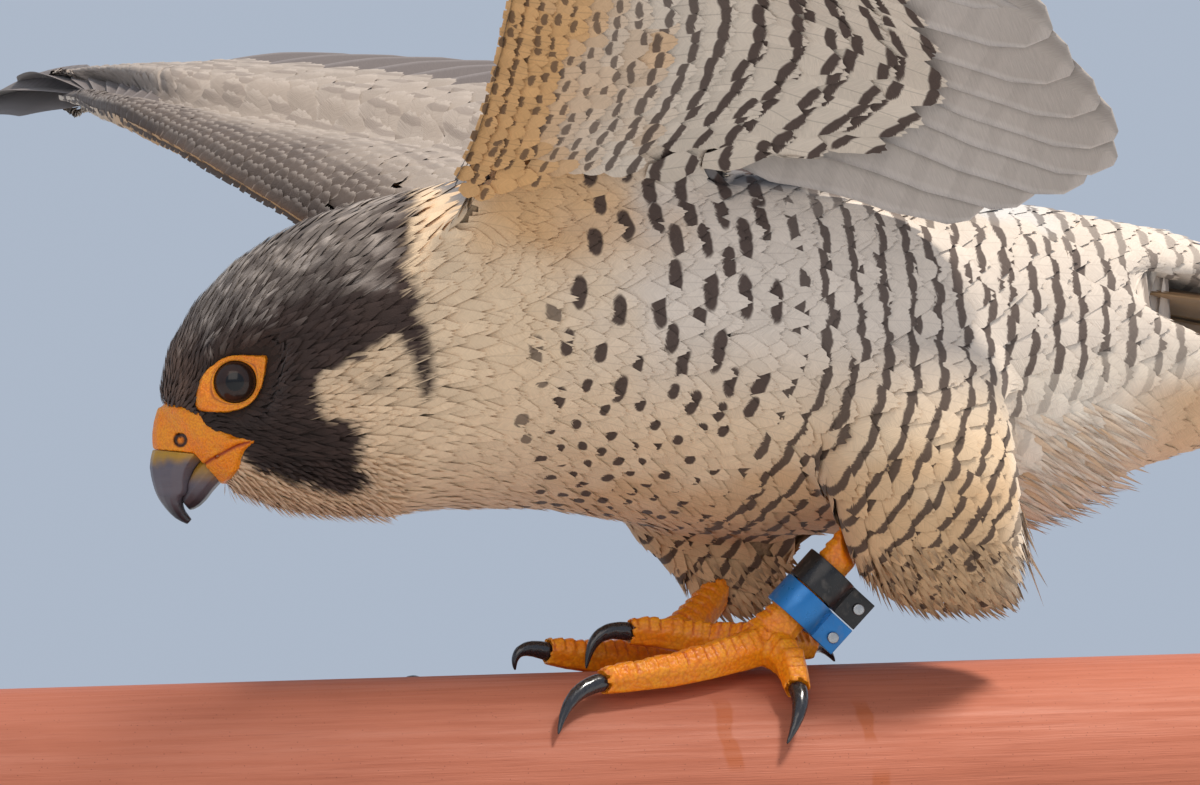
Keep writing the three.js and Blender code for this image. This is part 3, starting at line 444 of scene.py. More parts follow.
class Wrap:
    """A surface as a grid of points on which feathers are laid."""

    def __init__(self, points):
        self.points = np.asarray(points, float)
        self.along = np.gradient(self.points, axis=0)
        self.across = np.gradient(self.points, axis=1)
        self.normals = unit(np.cross(self.along, self.across))
        self.turned = False
        self.shape = self.points.shape[:2]

    def turn_over(self):
        self.normals = -self.normals
        self.turned = True

    def clipped(self, i, j):
        rows, columns = self.shape
        return np.clip(i, 0, rows - 1.001), np.clip(j, 0, columns - 1.001)

    def sample(self, field, i, j):
        i, j = self.clipped(i, j)
        low_i, low_j = np.floor(i).astype(int), np.floor(j).astype(int)
        share_i, share_j = (i - low_i)[..., None], (j - low_j)[..., None]
        near = field[low_i, low_j] * (1 - share_j) + field[low_i, low_j + 1] * share_j
        far = field[low_i + 1, low_j] * (1 - share_j) + field[low_i + 1, low_j + 1] * share_j
        return near * (1 - share_i) + far * share_i

    def at(self, i, j):
        """Points and normals, carried straight on past the grid's ends."""
        inner_i, inner_j = self.clipped(i, j)
        points = self.sample(self.points, i, j)
        points = points + (i - inner_i)[..., None] * self.sample(self.along, i, j)
        points = points + (j - inner_j)[..., None] * self.sample(self.across, i, j)
        return points, unit(self.sample(self.normals, i, j))

    def steps(self, i, j):
        """Millimetres for one grid step each way."""
        along = np.linalg.norm(self.sample(self.along, i, j), axis=-1)
        across = np.linalg.norm(self.sample(self.across, i, j), axis=-1)
        return np.maximum(along, 0.05), np.maximum(across, 0.05)

    def rows(self, pitch, spacing, rng, end, jitter):
        """Root places in offset rows. pitch and spacing give millimetres at a share of the length."""
        rows, columns = self.shape
        reach = np.concatenate([[0], np.cumsum(np.linalg.norm(self.along, axis=2).mean(axis=1))[:-1]])
        every_column = np.arange(columns, dtype=float)
        places = []
        run = 0.0
        number = 0
        while run < reach[-1] * end:
            share = run / reach[-1]
            i = np.interp(run, reach, np.arange(rows))
            ring = np.linalg.norm(self.sample(self.across, np.full(columns, i), every_column), axis=1)
            turn = np.concatenate([[0], np.cumsum(ring)])
            count = max(3, int(round(turn[-1] / spacing(share))))
            offset = 0.5 * (number % 2)
            spots = (np.arange(count) + offset + rng.uniform(-jitter, jitter, count)) / count
            j = np.interp((spots % 1.0) * turn[-1], turn, np.arange(columns + 1))
            wobble = rng.uniform(-jitter, jitter, count) * pitch(share)
            places.append(rows_of(i, j, wobble))
            run += pitch(share)
            number += 1
        i, j, wobble = np.concatenate(places).T
        along, _ = self.steps(i, j)
        return i + wobble / along, j


class Hide:
    """The skin as a surface on which feathers are laid at any place and in any direction."""

    def __init__(self, mesh):
        mesh.calc_loop_triangles()
        self.faces = read(mesh.loop_triangles, "vertices", 3, np.int32)
        self.points = mesh_points(mesh)
        self.face_normals = unit(mesh_normals(mesh)[self.faces].mean(axis=1))
        self.tree = BVHTree.FromPolygons(self.points.tolist(), self.faces.tolist())

    def nearest(self, points):
        """Closest places on the surface and the outward directions there."""
        flat = points.reshape(-1, 3)
        found = [self.tree.find_nearest(point) for point in flat.tolist()]
        places = np.array([tuple(hit[0]) for hit in found]).reshape(points.shape)
        normals = self.face_normals[[hit[2] for hit in found]].reshape(points.shape)
        return places, normals

    def scatter(self, spacing, keep, rng, crowd=7.0):
        """Root places no closer than spacing(points) to each other, where keep(points) is true."""
        corners = self.points[self.faces]
        allowed = keep(corners.mean(axis=1))
        corners, facing = corners[allowed], self.face_normals[allowed]
        sides = corners[:, 1] - corners[:, 0], corners[:, 2] - corners[:, 0]
        area = np.linalg.norm(np.cross(*sides), axis=1)
        middles = corners.mean(axis=1)
        gap = spacing(middles) if callable(spacing) else np.full(len(middles), spacing)
        weight = area / 2 / gap**2
        count = int(weight.sum() * crowd)
        chosen = rng.choice(len(corners), count, p=weight / weight.sum())
        shares = rng.random((count, 2))
        shares = np.where(shares.sum(axis=1, keepdims=True) > 1, 1 - shares, shares)
        a, b, c = (corners[chosen, k] for k in range(3))
        roots = a + (b - a) * shares[:, :1] + (c - a) * shares[:, 1:]
        gap = gap[chosen]
        tree = point_tree(roots)
        open_places = np.ones(count, bool)
        taken = []
        for index, root in enumerate(roots.tolist()):
            if open_places[index]:
                taken.append(index)
                for _, other, _ in tree.find_range(root, gap[index]):
                    open_places[other] = False
        return roots[taken], facing[chosen][taken]


def along_body(points):
    """Share of the way from bill to rump, and height over the middle line as a share."""
    line = np.array(BODY_LINE, float)
    share = np.interp(points[..., 0], line[:, 0], np.linspace(0, 1, len(line)))
    middle = np.interp(points[..., 0], line[:, 0], line[:, 2])
    half = np.interp(points[..., 0], line[:, 0], line[:, 3])
    return share, (points[..., 2] - middle) / half


def unwrap(points):
    """Rows of places on an unwrap of the body: along it, and round it."""
    line = np.array(BODY_LINE, float)
    share, _ = along_body(points)
    beside = points[..., 1] - np.interp(points[..., 0], line[:, 0], line[:, 1])
    above = points[..., 2] - np.interp(points[..., 0], line[:, 0], line[:, 2])
    return rows_of(share, (np.arctan2(above, beside) / (2 * math.pi)) % 1)


def bar_track(points):
    """Millimetres along the body, bent downwards on the lower flank and thigh."""
    drop = np.clip(BEND_TOP - points[..., 2], 0, BEND_REACH)
    ahead = smooth(points[..., 0], -50, 0)
    return points[..., 0] + ahead * BEND * drop**2 / 120


def lie(points, normals):
    """Direction in which a feather points, flat on the surface."""
    x, z = points[..., 0], points[..., 2]
    drop = np.clip(BEND_TOP - z, 0, BEND_REACH) * smooth(x, -50, 0) * smooth(x, 190, 120)
    way = rows_of(1.0, 0.0, -BEND * drop / 60)
    fan = unit(points - FAN_SOURCE)
    way = blend(way, fan, smooth(x, -62, -86))
    for side in (1, -1):
        apart = points - head_point(0.5, side * 20, 0)
        gap = np.linalg.norm(apart, axis=-1)
        way = way + unit(apart) * (0.9 * np.exp(-np.clip(gap - 8, 0, None) / 5))[..., None]
    way = way - normals * (way * normals).sum(axis=-1, keepdims=True)
    return unit(way)


def flight_at(side, number):
    """Root, tip, upper side and outward direction of a flight feather."""
    rows = WINGS[side]["flights"]
    knots = [row[0] for row in rows]
    values = [row[1:] for row in rows]
    row = spline(knots, values, np.array([number]))[0]
    near = spline(knots, values, np.array([number - 0.2, number + 0.2]))
    distal = unit(near[1, :3] - near[0, :3])
    return row[:3], row[3:6], unit(row[6:9]), distal


def quill(side, number, share):
    """Points along a flight feather's shaft."""
    root, tip, up, distal = flight_at(side, number)
    share = np.asarray(share, float)[:, None]
    hump = 4 * share * (1 - share)
    sweep = 4 if number < FIRST_PRIMARY else -5
    return root * (1 - share) + tip * share + distal * sweep * hump + up * FLIGHT_ARCH * hump


def wing_wrap(side, face, samples=70, spans=90):
    """One face of a wing, from the leading edge back over the coverts, and out along the arm."""
    flesh = WINGS[side]["flesh"]
    knots = range(len(flesh))
    spots = np.linspace(0.15, len(flesh) - 1.05, spans)
    track = spline(knots, flesh, spots)
    ahead = spline(knots, flesh, np.minimum(spots + 0.1, len(flesh) - 1))
    behind = spline(knots, flesh, np.maximum(spots - 0.1, 0))
    numbers = np.interp(spots, [row for _, row in FLIGHT_ROWS], [n for n, _ in FLIGHT_ROWS])
    profile = [(0, 0), (0.12, 0.38), (0.45, 0.46), (1, 0.16)]
    if face < 0:
        profile = [(0, 0), (0.12, -0.3), (0.5, -0.32), (1, -0.14)]
    inner = 0.76 if face < 0 else 0.54
    columns = []
    for k, number in enumerate(numbers):
        lead, rear, thick = track[k, :3], track[k, 3:6], track[k, 6]
        up = flight_at(side, number)[2]
        normal = unit(np.cross(rear - lead, ahead[k, :3] - behind[k, :3]))
        normal = normal if normal @ up > 0 else -normal
        line = [lead + (rear - lead) * a + normal * thick * b for a, b in profile]
        last = inner + (0.32 - inner) * smooth(number, 6, 15)
        shares = np.array([0.24, 0.5, 0.8, 1.0]) * last
        heights = np.array([6.6, 6.2, 5.0, 4.0])
        line = np.array([*line, *(quill(side, number, shares) + up * face * heights[:, None])])
        reach = run_along(line)
        columns.append(spline(reach / reach[-1], line, np.linspace(0, 1, samples)))
    wrap = Wrap(np.stack(columns, axis=1))
    if (wrap.normals[samples // 2, spans // 2] @ flight_at(side, 6)[2]) * face <= 0:
        wrap.turn_over()
    return wrap


# Feather meshes


class Vane:
    """A feather's shape as columns of barbs: along 0 to 1, across -1 to 1, and its faces."""

    def __init__(self, along, across, tip=0.35, ragged=0.05, root=0.35, taper=0.25, full=0.45):
        share = np.linspace(0, 1, along)
        web = np.linspace(-1, 1, across)
        reach = 1 - tip * np.abs(web) ** 2.4
        reach = reach - ragged * (np.arange(across) % 2)
        grid_a, grid_b = np.meshgrid(share, web, indexing="ij")
        self.a = grid_a * reach[None, :]
        width = root + (1 - root) * smooth(self.a, 0, full)
        self.b = grid_b * width * (1 - taper * smooth(self.a, 0.6, 1))
        index = np.arange(along * across).reshape(along, across)
        faces = np.stack([index[:-1, :-1], index[:-1, 1:], index[1:, 1:], index[1:, :-1]], axis=-1)
        self.faces = faces.reshape(-1, 4)
        self.a, self.b = self.a.ravel(), self.b.ravel()


def wrap_spread(wrap, i, j):
    """Where a vane's points lie on a wrap, for feathers rooted at i, j."""
    def spread(reach, aside):
        step_i, step_j = wrap.steps(i[:, None], j[:, None])
        return wrap.at(i[:, None] + reach / step_i, j[:, None] + aside / step_j)
    return spread


def plane(roots, normals, ways):
    """Where points lie in the planes of feathers rooted at roots and pointing along ways."""
    across = np.cross(normals, ways)
    def flat(reach, aside):
        return roots[:, None] + reach[..., None] * ways[:, None] + aside[..., None] * across[:, None]
    return flat


def hide_spread(hide, roots, normals, ways):
    """Where a vane's points lie on the skin."""
    flat = plane(roots, normals, ways)
    def spread(reach, aside):
        places, found = hide.nearest(flat(reach, aside))
        return places, unit(found + normals[:, None])
    return spread


def strand_spread(roots, normals, ways, stiffness=math.inf):
    """Where a loose strand's points lie, sagging with the square of the way over stiffness."""
    flat = plane(roots, normals, ways)
    def spread(reach, aside):
        sag = np.array([0, 0, -1.0]) * (reach[..., None] ** 2 / stiffness)
        places = flat(reach, aside) + sag
        return places, np.broadcast_to(normals[:, None], places.shape)
    return spread


class Coat:
    """Feather meshes gathered from any number of lays, then built as pieces."""

    def __init__(self):
        self.parts = []

    def lay(self, spread, cell, length, width, vane, tint, rng, mark=None, gauge=None,
            depth=2.6, lift=0.3, cup=0.5, flip=False, edge=None):
        """Lays one vane at each root. tint and mark are rows for each feather, or take its points."""
        count, size = len(cell), len(vane.a)
        if not count:
            return
        if mark is None:
            mark, gauge = np.zeros((count, 3)), np.broadcast_to(UNMARKED, (count, 3))
        length, width, depth = (np.broadcast_to(v, count)[:, None] for v in (length, width, depth))
        turn = rng.normal(0, 0.06, count)[:, None]
        reach = vane.a[None] * length
        aside = vane.b[None] * width / 2
        points, normals = spread(
            reach * np.cos(turn) - aside * np.sin(turn), reach * np.sin(turn) + aside * np.cos(turn)
        )
        loft = rng.uniform(-0.5, 0.7, count)[:, None] * lift
        height = -depth + (depth + lift + loft) * vane.a[None] ** 0.8
        height = height - cup * vane.b[None] ** 2 * (0.4 + 0.6 * vane.a[None])
        chance = rng.uniform(0, 1, count)[:, None]
        barb = rows_of(aside, (1 - vane.a)[None] * length, chance)
        marks, tints = (
            value(points, barb) if callable(value) else np.broadcast_to(value[:, None], (count, size, 3))
            for value in (mark, tint)
        )
        if edge is not None:
            rim = smooth(np.maximum(np.abs(vane.b), vane.a), 0.74, 1.0)
            tints = blend(tints, edge, np.broadcast_to(rim[None], (count, size)) * 0.6)
        points = points + normals * height[..., None]
        faces = vane.faces[None] + (np.arange(count) * size)[:, None, None]
        if flip:
            faces = faces[..., ::-1]
        patch = 0.0015
        bake = np.zeros((count, size, 2))
        bake[..., 0] = 0.02 + 0.95 * cell[:, None, 0] + patch * vane.b[None]
        bake[..., 1] = 0.02 + 0.95 * cell[:, None, 1] + patch * (2 * vane.a[None] - 1)
        gauges = np.broadcast_to(gauge[:, None], (count, size, 3))
        layers = [values.reshape(-1, 3) for values in (tints, barb, marks, gauges)]
        self.parts.append((faces.reshape(-1, 4), points.reshape(-1, 3), *layers, bake.reshape(-1, 2)))

    def build(self, name, material, slot):
        """One object per batch under the limit of triangles."""
        batches, batch, held = [], [], 0
        for faces, *fields in self.parts:
            start = 0
            while start < len(faces):
                room = (PIECE_LIMIT - held) // 2
                if room < 2000:
                    batches.append(batch)
                    batch, held = [], 0
                    continue
                piece = faces[start:start + room]
                batch.append((piece, fields))
                held += 2 * len(piece)
                start += len(piece)
        batches.append(batch)
        for number, batch in enumerate(b for b in batches if b):
            stores, all_faces, offset = [[] for _ in range(6)], [], 0
            for piece, fields in batch:
                used, index = np.unique(piece, return_inverse=True)
                for store, values in zip(stores, fields):
                    store.append(values[used])
                all_faces.append(index.reshape(-1, 4) + offset)
                offset += len(used)
            title = name if not number else f"{name}_{number + 1}"
            layers = [np.concatenate(store) for store in stores]
            feather_object(title, np.concatenate(all_faces), *layers, material, slot)


def feather_object(name, faces, points, tint, barb, mark, gauge, bake, material, slot):
    mesh = bpy.data.meshes.new(name)
    mesh.vertices.add(len(points))
    mesh.vertices.foreach_set("co", (points * MM).astype(np.float32).ravel())
    mesh.loops.add(faces.size)
    mesh.loops.foreach_set("vertex_index", faces.astype(np.int32).ravel())
    mesh.polygons.add(len(faces))
    mesh.polygons.foreach_set("loop_start", np.arange(len(faces), dtype=np.int32) * 4)
    mesh.update(calc_edges=True)
    mesh.validate()
    mesh.shade_smooth()
    set_tint(mesh, tint)
    for title, values in (("barb", barb), ("mark", mark), ("gauge", gauge)):
        set_layer(mesh, title, values)
    corners = read(mesh.loops, "vertex_index", 1, np.int32).ravel()
    layer = mesh.uv_layers.new(name="OFBake")
    layer.data.foreach_set("uv", bake[corners].astype(np.float32).ravel())
    place(name, mesh, material, slot)


def linked(name, data):
    """A new object in the scene."""
    made = bpy.data.objects.new(name, data)
    bpy.context.scene.collection.objects.link(made)
    return made


def place(name, mesh, material, slot, *replaced):
    """Links a finished mesh as a piece that rides on the part."""
    piece = linked(name, mesh)
    mesh.materials.clear()
    mesh.materials.append(material)
    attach(piece, "root")
    if replaced:
        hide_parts(*replaced)


def merged_copy(nodes, grow=0.0):
    """One mesh from copies of the solids, their loose triangles joined up."""
    shape = bmesh.new()
    for node in nodes:
        part = bmesh.new()
        part.from_mesh(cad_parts[node].data)
        bmesh.ops.remove_doubles(part, verts=part.verts, dist=2e-6)
        if grow:
            part.normal_update()
            shift = {vert: vert.normal * grow for vert in part.verts}
            for vert, step in shift.items():
                vert.co += step
        copy = bpy.data.meshes.new("copy")
        part.to_mesh(copy)
        part.free()
        shape.from_mesh(copy)
        bpy.data.meshes.remove(copy)
    return shape


def finished(shape, name, *modifiers):
    """The bmesh with modifiers applied, as a mesh."""
    mesh = bpy.data.meshes.new(name)
    shape.to_mesh(mesh)
    shape.free()
    worker = linked(name, mesh)
    for kind, settings in modifiers:
        modifier = worker.modifiers.new(kind, kind)
        for key, value in settings.items():
            setattr(modifier, key, value)
    bpy.context.view_layer.update()
    result = bpy.data.meshes.new_from_object(
        worker.evaluated_get(bpy.context.evaluated_depsgraph_get())
    )
    bpy.data.objects.remove(worker)
    bpy.data.meshes.remove(mesh)
    result.name = name
    result.shade_smooth()
    return result


def melted(shape, name, voxel, rounds):
    """The bmesh as one closed skin, smoothed for a number of rounds."""
    return finished(
        shape, name,
        ("REMESH", {"mode": "VOXEL", "voxel_size": voxel}),
        ("SMOOTH", {"factor": 0.5, "iterations": rounds}),
    )


def ease(shape, edges, offset, segments):
    bmesh.ops.bevel(
        shape, geom=edges, offset=offset, segments=segments, profile=0.5, affect="EDGES", material=-1
    )


def eased_copy(node, offset):
    """A copy of a solid with its flat faces joined up and its sharp edges rounded."""
    shape = merged_copy([node])
    bmesh.ops.dissolve_limit(
        shape, angle_limit=math.radians(2), verts=shape.verts, edges=shape.edges
    )
    steep = math.radians(50)
    sharp = [edge for edge in shape.edges if edge.is_manifold and edge.calc_face_angle() > steep]
    ease(shape, sharp, offset, 3)
    return shape


def read(rows, key, width, kind=np.float32):
    """One value of each row of mesh data, as an array."""
    values = np.zeros(len(rows) * width, kind)
    rows.foreach_get(key, values)
    return values.reshape(-1, width)


def mesh_points(mesh):
    return read(mesh.vertices, "co", 3).astype(float) / MM


def set_points(mesh, points):
    mesh.vertices.foreach_set("co", (points * MM).astype(np.float32).ravel())
    mesh.update()


def mesh_normals(mesh):
    return read(mesh.vertex_normals, "vector", 3).astype(float)


def set_layer(mesh, name, values):
    """Stores a number, a vector or a colour with alpha for each vertex."""
    kinds = {1: ("FLOAT", "value"), 3: ("FLOAT_VECTOR", "vector"), 4: ("FLOAT_COLOR", "color")}
    kind, key = kinds[values.size // len(values)]
    layer = mesh.attributes.new(name, kind, "POINT")
    layer.data.foreach_set(key, values.astype(np.float32).ravel())


def set_tint(mesh, values):
    set_layer(mesh, "tint", np.column_stack([values, np.ones(len(values))]))


# Materials


def toned(base, factor, add=0.0):
    """A colour made lighter or darker, kept within 0 to 1."""
    return tuple(np.clip(np.array(base) * factor + add, 0, 1))


class Finish:
    """A procedural material, its nodes added call by call."""

    def __init__(self, name, roughness=0.5, **sockets):
        self.material = bpy.data.materials.new(name)
        self.material.use_nodes = True
        self.nodes = self.material.node_tree.nodes
        self.links = self.material.node_tree.links
        self.shader = self.nodes["Principled BSDF"]
        self.shader.inputs["Roughness"].default_value = roughness
        for key, value in sockets.items():
            self.shader.inputs[key.replace("_", " ")].default_value = value
        self.place = self.node("ShaderNodeTexCoord").outputs["Object"]

    def feed(self, socket, value):
        if isinstance(value, bpy.types.NodeSocket):
            self.links.new(value, socket)
        elif value is not None:
            if hasattr(socket.default_value, "__len__") and not hasattr(value, "__len__"):
                value = (value,) * len(socket.default_value)
            if hasattr(value, "__len__") and len(value) == 3 and len(socket.default_value) == 4:
                value = (*value, 1.0)
            socket.default_value = value

    def node(self, kind, inputs=(), **settings):
        """A new node, its inputs fed in their order, or by name from a dict."""
        made = self.nodes.new(kind)
        for key, value in settings.items():
            setattr(made, key, value)
        for key, value in inputs.items() if isinstance(inputs, dict) else enumerate(inputs):
            self.feed(made.inputs[key], value)
        return made

    def math(self, operation, *values):
        return self.node("ShaderNodeMath", values, operation=operation).outputs[0]

    def mix(self, share, first, second, kind="MIX"):
        inputs = {"Factor": share, "A": first, "B": second}
        return self.node("ShaderNodeMix", inputs, data_type="RGBA", blend_type=kind).outputs["Result"]

    def ramp(self, value, low, high, start=0.0, end=1.0):
        inputs = {"Value": value, "From Min": low, "From Max": high, "To Min": start, "To Max": end}
        return self.node("ShaderNodeMapRange", inputs, interpolation_type="SMOOTHSTEP").outputs["Result"]

    def noise(self, vector, scale, detail=2.0, roughness=0.5):
        inputs = {"Vector": vector, "Scale": scale, "Detail": detail, "Roughness": roughness}
        return self.node("ShaderNodeTexNoise", inputs).outputs["Fac"]

    def stretched_noise(self, scale, detail, roughness=0.5):
        spot = self.node("ShaderNodeMapping", {"Vector": self.place, "Scale": scale}).outputs["Vector"]
        return self.noise(spot, 1.0, detail, roughness)

    def cells(self, scale):
        inputs = {"Vector": self.place, "Scale": scale}
        return self.node("ShaderNodeTexVoronoi", inputs).outputs["Distance"]

    def layer(self, name, output="Fac"):
        return self.node("ShaderNodeAttribute", attribute_name=name).outputs[output]

    def split(self, vector):
        return self.node("ShaderNodeSeparateXYZ", (vector,)).outputs

    def join(self, x, y, z):
        return self.node("ShaderNodeCombineXYZ", (x, y, z)).outputs[0]

    def bump(self, height, distance, strength):
        inputs = {"Strength": strength, "Distance": distance, "Height": height}
        return self.node("ShaderNodeBump", inputs).outputs["Normal"]

    def finish(self, base=None, roughness=None, normal=None):
        for key, value in (("Base Color", base), ("Roughness", roughness), ("Normal", normal)):
            if value is not None:
                self.feed(self.shader.inputs[key], value)
        return self.material


def plumage_finish(name, plumage, barb_strength=0.5, shaft_strength=0.3):
    """Feather colour from the tint, with bars and spots by each feather's own measures.

    mark holds the place across and along a spot or bar, and the mark's half length across.
    gauge holds its half width, half the distance to the next one, and its strength.
    """
    f = Finish(name, 0.72, Specular_IOR_Level=0.22, Sheen_Weight=0.12, Sheen_Roughness=0.5)
    tint = f.layer("tint", "Color")
    across, along, chance = f.split(f.layer("barb", "Vector"))
    beside, track, half = f.split(f.layer("mark", "Vector"))
    width, pitch, strength = f.split(f.layer("gauge", "Vector"))
    aside = f.math("ABSOLUTE", across)
    lengthwise = f.math("MULTIPLY_ADD", aside, 0.9, along)
    streaks = f.noise(f.join(f.math("MULTIPLY", lengthwise, 2.6), f.math("MULTIPLY", across, 0.35),
                             f.math("MULTIPLY", chance, 60)), 1.0, 3, 0.6)
    wave = f.math("SUBTRACT", f.noise(f.place, 150, 2), 0.5)
    teeth = f.math("SUBTRACT", streaks, 0.5)
    shifted = f.math("MULTIPLY_ADD", wave, 2.6, track)
    shifted = f.math("MULTIPLY_ADD", teeth, 1.5, shifted)
    off = f.math("DIVIDE", f.math("PINGPONG", shifted, pitch), width)
    out = f.math("DIVIDE", f.math("MULTIPLY_ADD", wave, 1.6, beside), half)
    off, out = f.math("POWER", off, 2), f.math("POWER", f.math("ABSOLUTE", out), 3)
    inside = f.math("SUBTRACT", 1.0, f.math("ADD", off, out))
    inside = f.math("MULTIPLY_ADD", teeth, 0.9, inside)
    mark = f.math("MULTIPLY", f.ramp(inside, -0.25, 0.45), strength)
    shaft = f.math("MULTIPLY", f.ramp(aside, 0.26, 0.08), f.math("MULTIPLY", strength, shaft_strength))
    shade = f.math("MULTIPLY_ADD", streaks, 0.42, 0.79)
    ground = f.mix(1.0, tint, f.join(shade, shade, shade), "MULTIPLY")
    dark = f.mix(streaks, tuple(plumage.bar), toned(plumage.bar, 1.8))
    painted = f.mix(f.math("MAXIMUM", mark, shaft), ground, dark)
    return f.finish(painted, None, f.bump(streaks, 0.0004, barb_strength))


def skin_finish(name):
    f = Finish(name, 0.8, Specular_IOR_Level=0.2)
    grain = f.noise(f.place, 700, 3)
    # Painted shade: grainy patches darken the tint by 15 to 50 per cent towards near-black, for the gaps
    # between feathers.
    base = f.mix(f.ramp(grain, 0.3, 0.7, 0.15, 0.5), f.layer("tint", "Color"), (0.05, 0.04, 0.035))
    return f.finish(base, None, f.bump(grain, 0.0005, 0.6))


def bare_skin_finish(name, bare, creased):
    """Orange-yellow scaly skin; crease lines come from the piece's own measure."""
    f = Finish(name, 0.42, Specular_IOR_Level=0.45, Subsurface_Weight=0.12, Subsurface_Scale=0.002,
               Coat_Weight=0.12, Coat_Roughness=0.3)
    blot = f.noise(f.place, 160, 3)
    scales = f.cells(900 if creased else 1500)
    rim = f.ramp(scales, 0.35, 0.75)
    yellow, crease = tuple(bare.yellow), tuple(bare.crease)
    base = f.mix(f.ramp(blot, 0.35, 0.7), yellow, toned(yellow, (1.05, 0.8, 0.6)))
    base = f.mix(f.math("MULTIPLY", rim, 0.35), base, crease)
    if creased:
        base = f.mix(f.math("MULTIPLY", f.layer("scute"), 0.75), base, crease)
    else:
        ring = f.layer("ring")
        line = f.math("MULTIPLY", f.ramp(ring, 0.13, 0.19), f.ramp(ring, 0.3, 0.2))
        base = f.mix(f.math("MULTIPLY", line, 0.6), base, toned(crease, 0.35))
        base = f.mix(f.layer("mouth"), base, toned(crease, (0.6, 0.3, 0.4)))
        # Painted shade: the ring round the nostril's middle cone is painted near-black for the dark inside
        # the hole.
        base = f.mix(f.layer("pit"), base, toned(crease, 0.06))
    normal = f.bump(f.math("SUBTRACT", 1, scales), 0.0004, 0.5)
    return f.finish(base, f.ramp(blot, 0.2, 0.8, 0.5, 0.34), normal)


def horn_finish(name, bare, upper):
    """Bill horn, yellow next to the cere and dark at the tip."""
    f = Finish(name, 0.34, Specular_IOR_Level=0.5, Coat_Weight=0.2, Coat_Roughness=0.15)
    blot = f.noise(f.place, 220, 3)
    streak = f.stretched_noise((260, 260, 1500), 2)
    moved = f.math("MULTIPLY_ADD", f.math("SUBTRACT", blot, 0.5), 0.22, f.layer("reach"))
    yellow = toned(bare.yellow, (0.55, 0.8, 1.4))
    base = f.mix(f.ramp(moved, 0.0, 0.2) if upper else f.ramp(moved, 0.2, 0.62), yellow, tuple(bare.horn))
    base = f.mix(f.ramp(moved, 0.5, 0.95), base, tuple(bare.horn_tip))
    base = f.mix(f.math("MULTIPLY", streak, 0.3), base, toned(bare.horn_tip, 1.4))
    return f.finish(base, f.ramp(blot, 0.2, 0.8, 0.42, 0.28), f.bump(streak, 0.0002, 0.35))


def claw_finish(name, bare):
    f = Finish(name, 0.2, Specular_IOR_Level=0.6, Coat_Weight=0.4, Coat_Roughness=0.08)
    streak = f.stretched_noise((900, 900, 300), 3)
    base = f.mix(streak, tuple(bare.claw), toned(bare.claw, 3.4))
    return f.finish(base, f.ramp(streak, 0.3, 0.7, 0.16, 0.34), f.bump(streak, 0.0002, 0.25))


def eye_finish(name, bare):
    f = Finish(name, 0.16, Specular_IOR_Level=0.3, Coat_Weight=0.35, Coat_Roughness=0.05, Coat_IOR=1.376)
    out = f.layer("iris")
    fibre = f.noise(f.join(f.math("MULTIPLY", out, 4), f.layer("fibre"), 0.0), 9.0, 3)
    brown = f.mix(fibre, tuple(bare.iris), toned(bare.iris, 2.6))
    base = f.mix(f.ramp(out, 0.4, 0.47), (0.003, 0.003, 0.004), brown)
    base = f.mix(f.ramp(out, 0.92, 1.0), base, (0.01, 0.008, 0.007))
    return f.finish(base, None, f.bump(f.noise(f.place, 500, 1), 0.00002, 0.1))


def band_finish(name, base):
    f = Finish(name, 0.32, Metallic=0.35, Specular_IOR_Level=0.5, Coat_Weight=0.2, Coat_Roughness=0.2)
    scratch = f.stretched_noise((3000, 420, 1200), 4)
    dust = f.noise(f.place, 260, 3)
    worn = f.ramp(scratch, 0.62, 0.78)
    tone = f.mix(f.math("MULTIPLY", worn, 0.35), tuple(base), toned(base, 0.5, 0.2))
    tone = f.mix(f.ramp(dust, 0.55, 0.8, 0, 0.25), tone, (0.3, 0.26, 0.22))
    return f.finish(tone, f.ramp(dust, 0.3, 0.7, 0.26, 0.45), f.bump(scratch, 0.0001, 0.3))


def rivet_finish(name, base):
    f = Finish(name, 0.3, Metallic=0.95)
    scratch = f.noise(f.place, 2600, 3)
    tone = f.mix(scratch, tuple(base), toned(base, 0.55))
    return f.finish(tone, f.ramp(scratch, 0.3, 0.7, 0.22, 0.45), f.bump(scratch, 0.00015, 0.4))


def rail_finish(name, perch):
    """Weathered terracotta paint over timber, with lengthwise grain and drips down the sides."""
    f = Finish(name, 0.62, Specular_IOR_Level=0.3)
    grain = f.stretched_noise((14, 420, 420), 5, 0.6)
    fibre = f.stretched_noise((60, 2400, 2400), 3, 0.6)
    blot = f.stretched_noise((12, 26, 26), 3)
    specks = f.cells(520)
    paint, shade, stain = tuple(perch.paint), tuple(perch.paint_dark), tuple(perch.stain)
    base = f.mix(f.ramp(grain, 0.35, 0.7), paint, toned(paint, (0.88, 0.85, 0.84)))
    base = f.mix(f.ramp(fibre, 0.5, 0.75, 0, 0.3), base, shade)
    base = f.mix(f.ramp(blot, 0.45, 0.75, 0, 0.5), base, toned(paint, (1.18, 1.2, 1.2)))
    x, y, z = f.split(f.place)
    sway = f.math("MULTIPLY_ADD", f.math("SUBTRACT", f.noise(f.place, 90, 2), 0.5), 0.006, x)
    for centre, low, high, spread in RAIL_DRIPS:
        drip = f.ramp(f.math("ABSOLUTE", f.math("SUBTRACT", sway, centre)), spread, spread * 0.6)
        fall = f.math("MULTIPLY", f.ramp(z, low, low + 0.004), f.ramp(z, high, high - 0.006))
        side = f.ramp(y, -0.012, -0.02)
        spot = f.math("MULTIPLY", f.math("MULTIPLY", drip, fall), side)
        base = f.mix(f.math("MULTIPLY", spot, 0.6), base, stain)
    base = f.mix(f.ramp(specks, 0.12, 0.05, 0, 0.6), base, toned(shade, 0.4))
    height = f.math("MULTIPLY_ADD", fibre, 0.5, grain)
    return f.finish(base, f.ramp(grain, 0.3, 0.7, 0.5, 0.75), f.bump(height, 0.0006, 0.4))


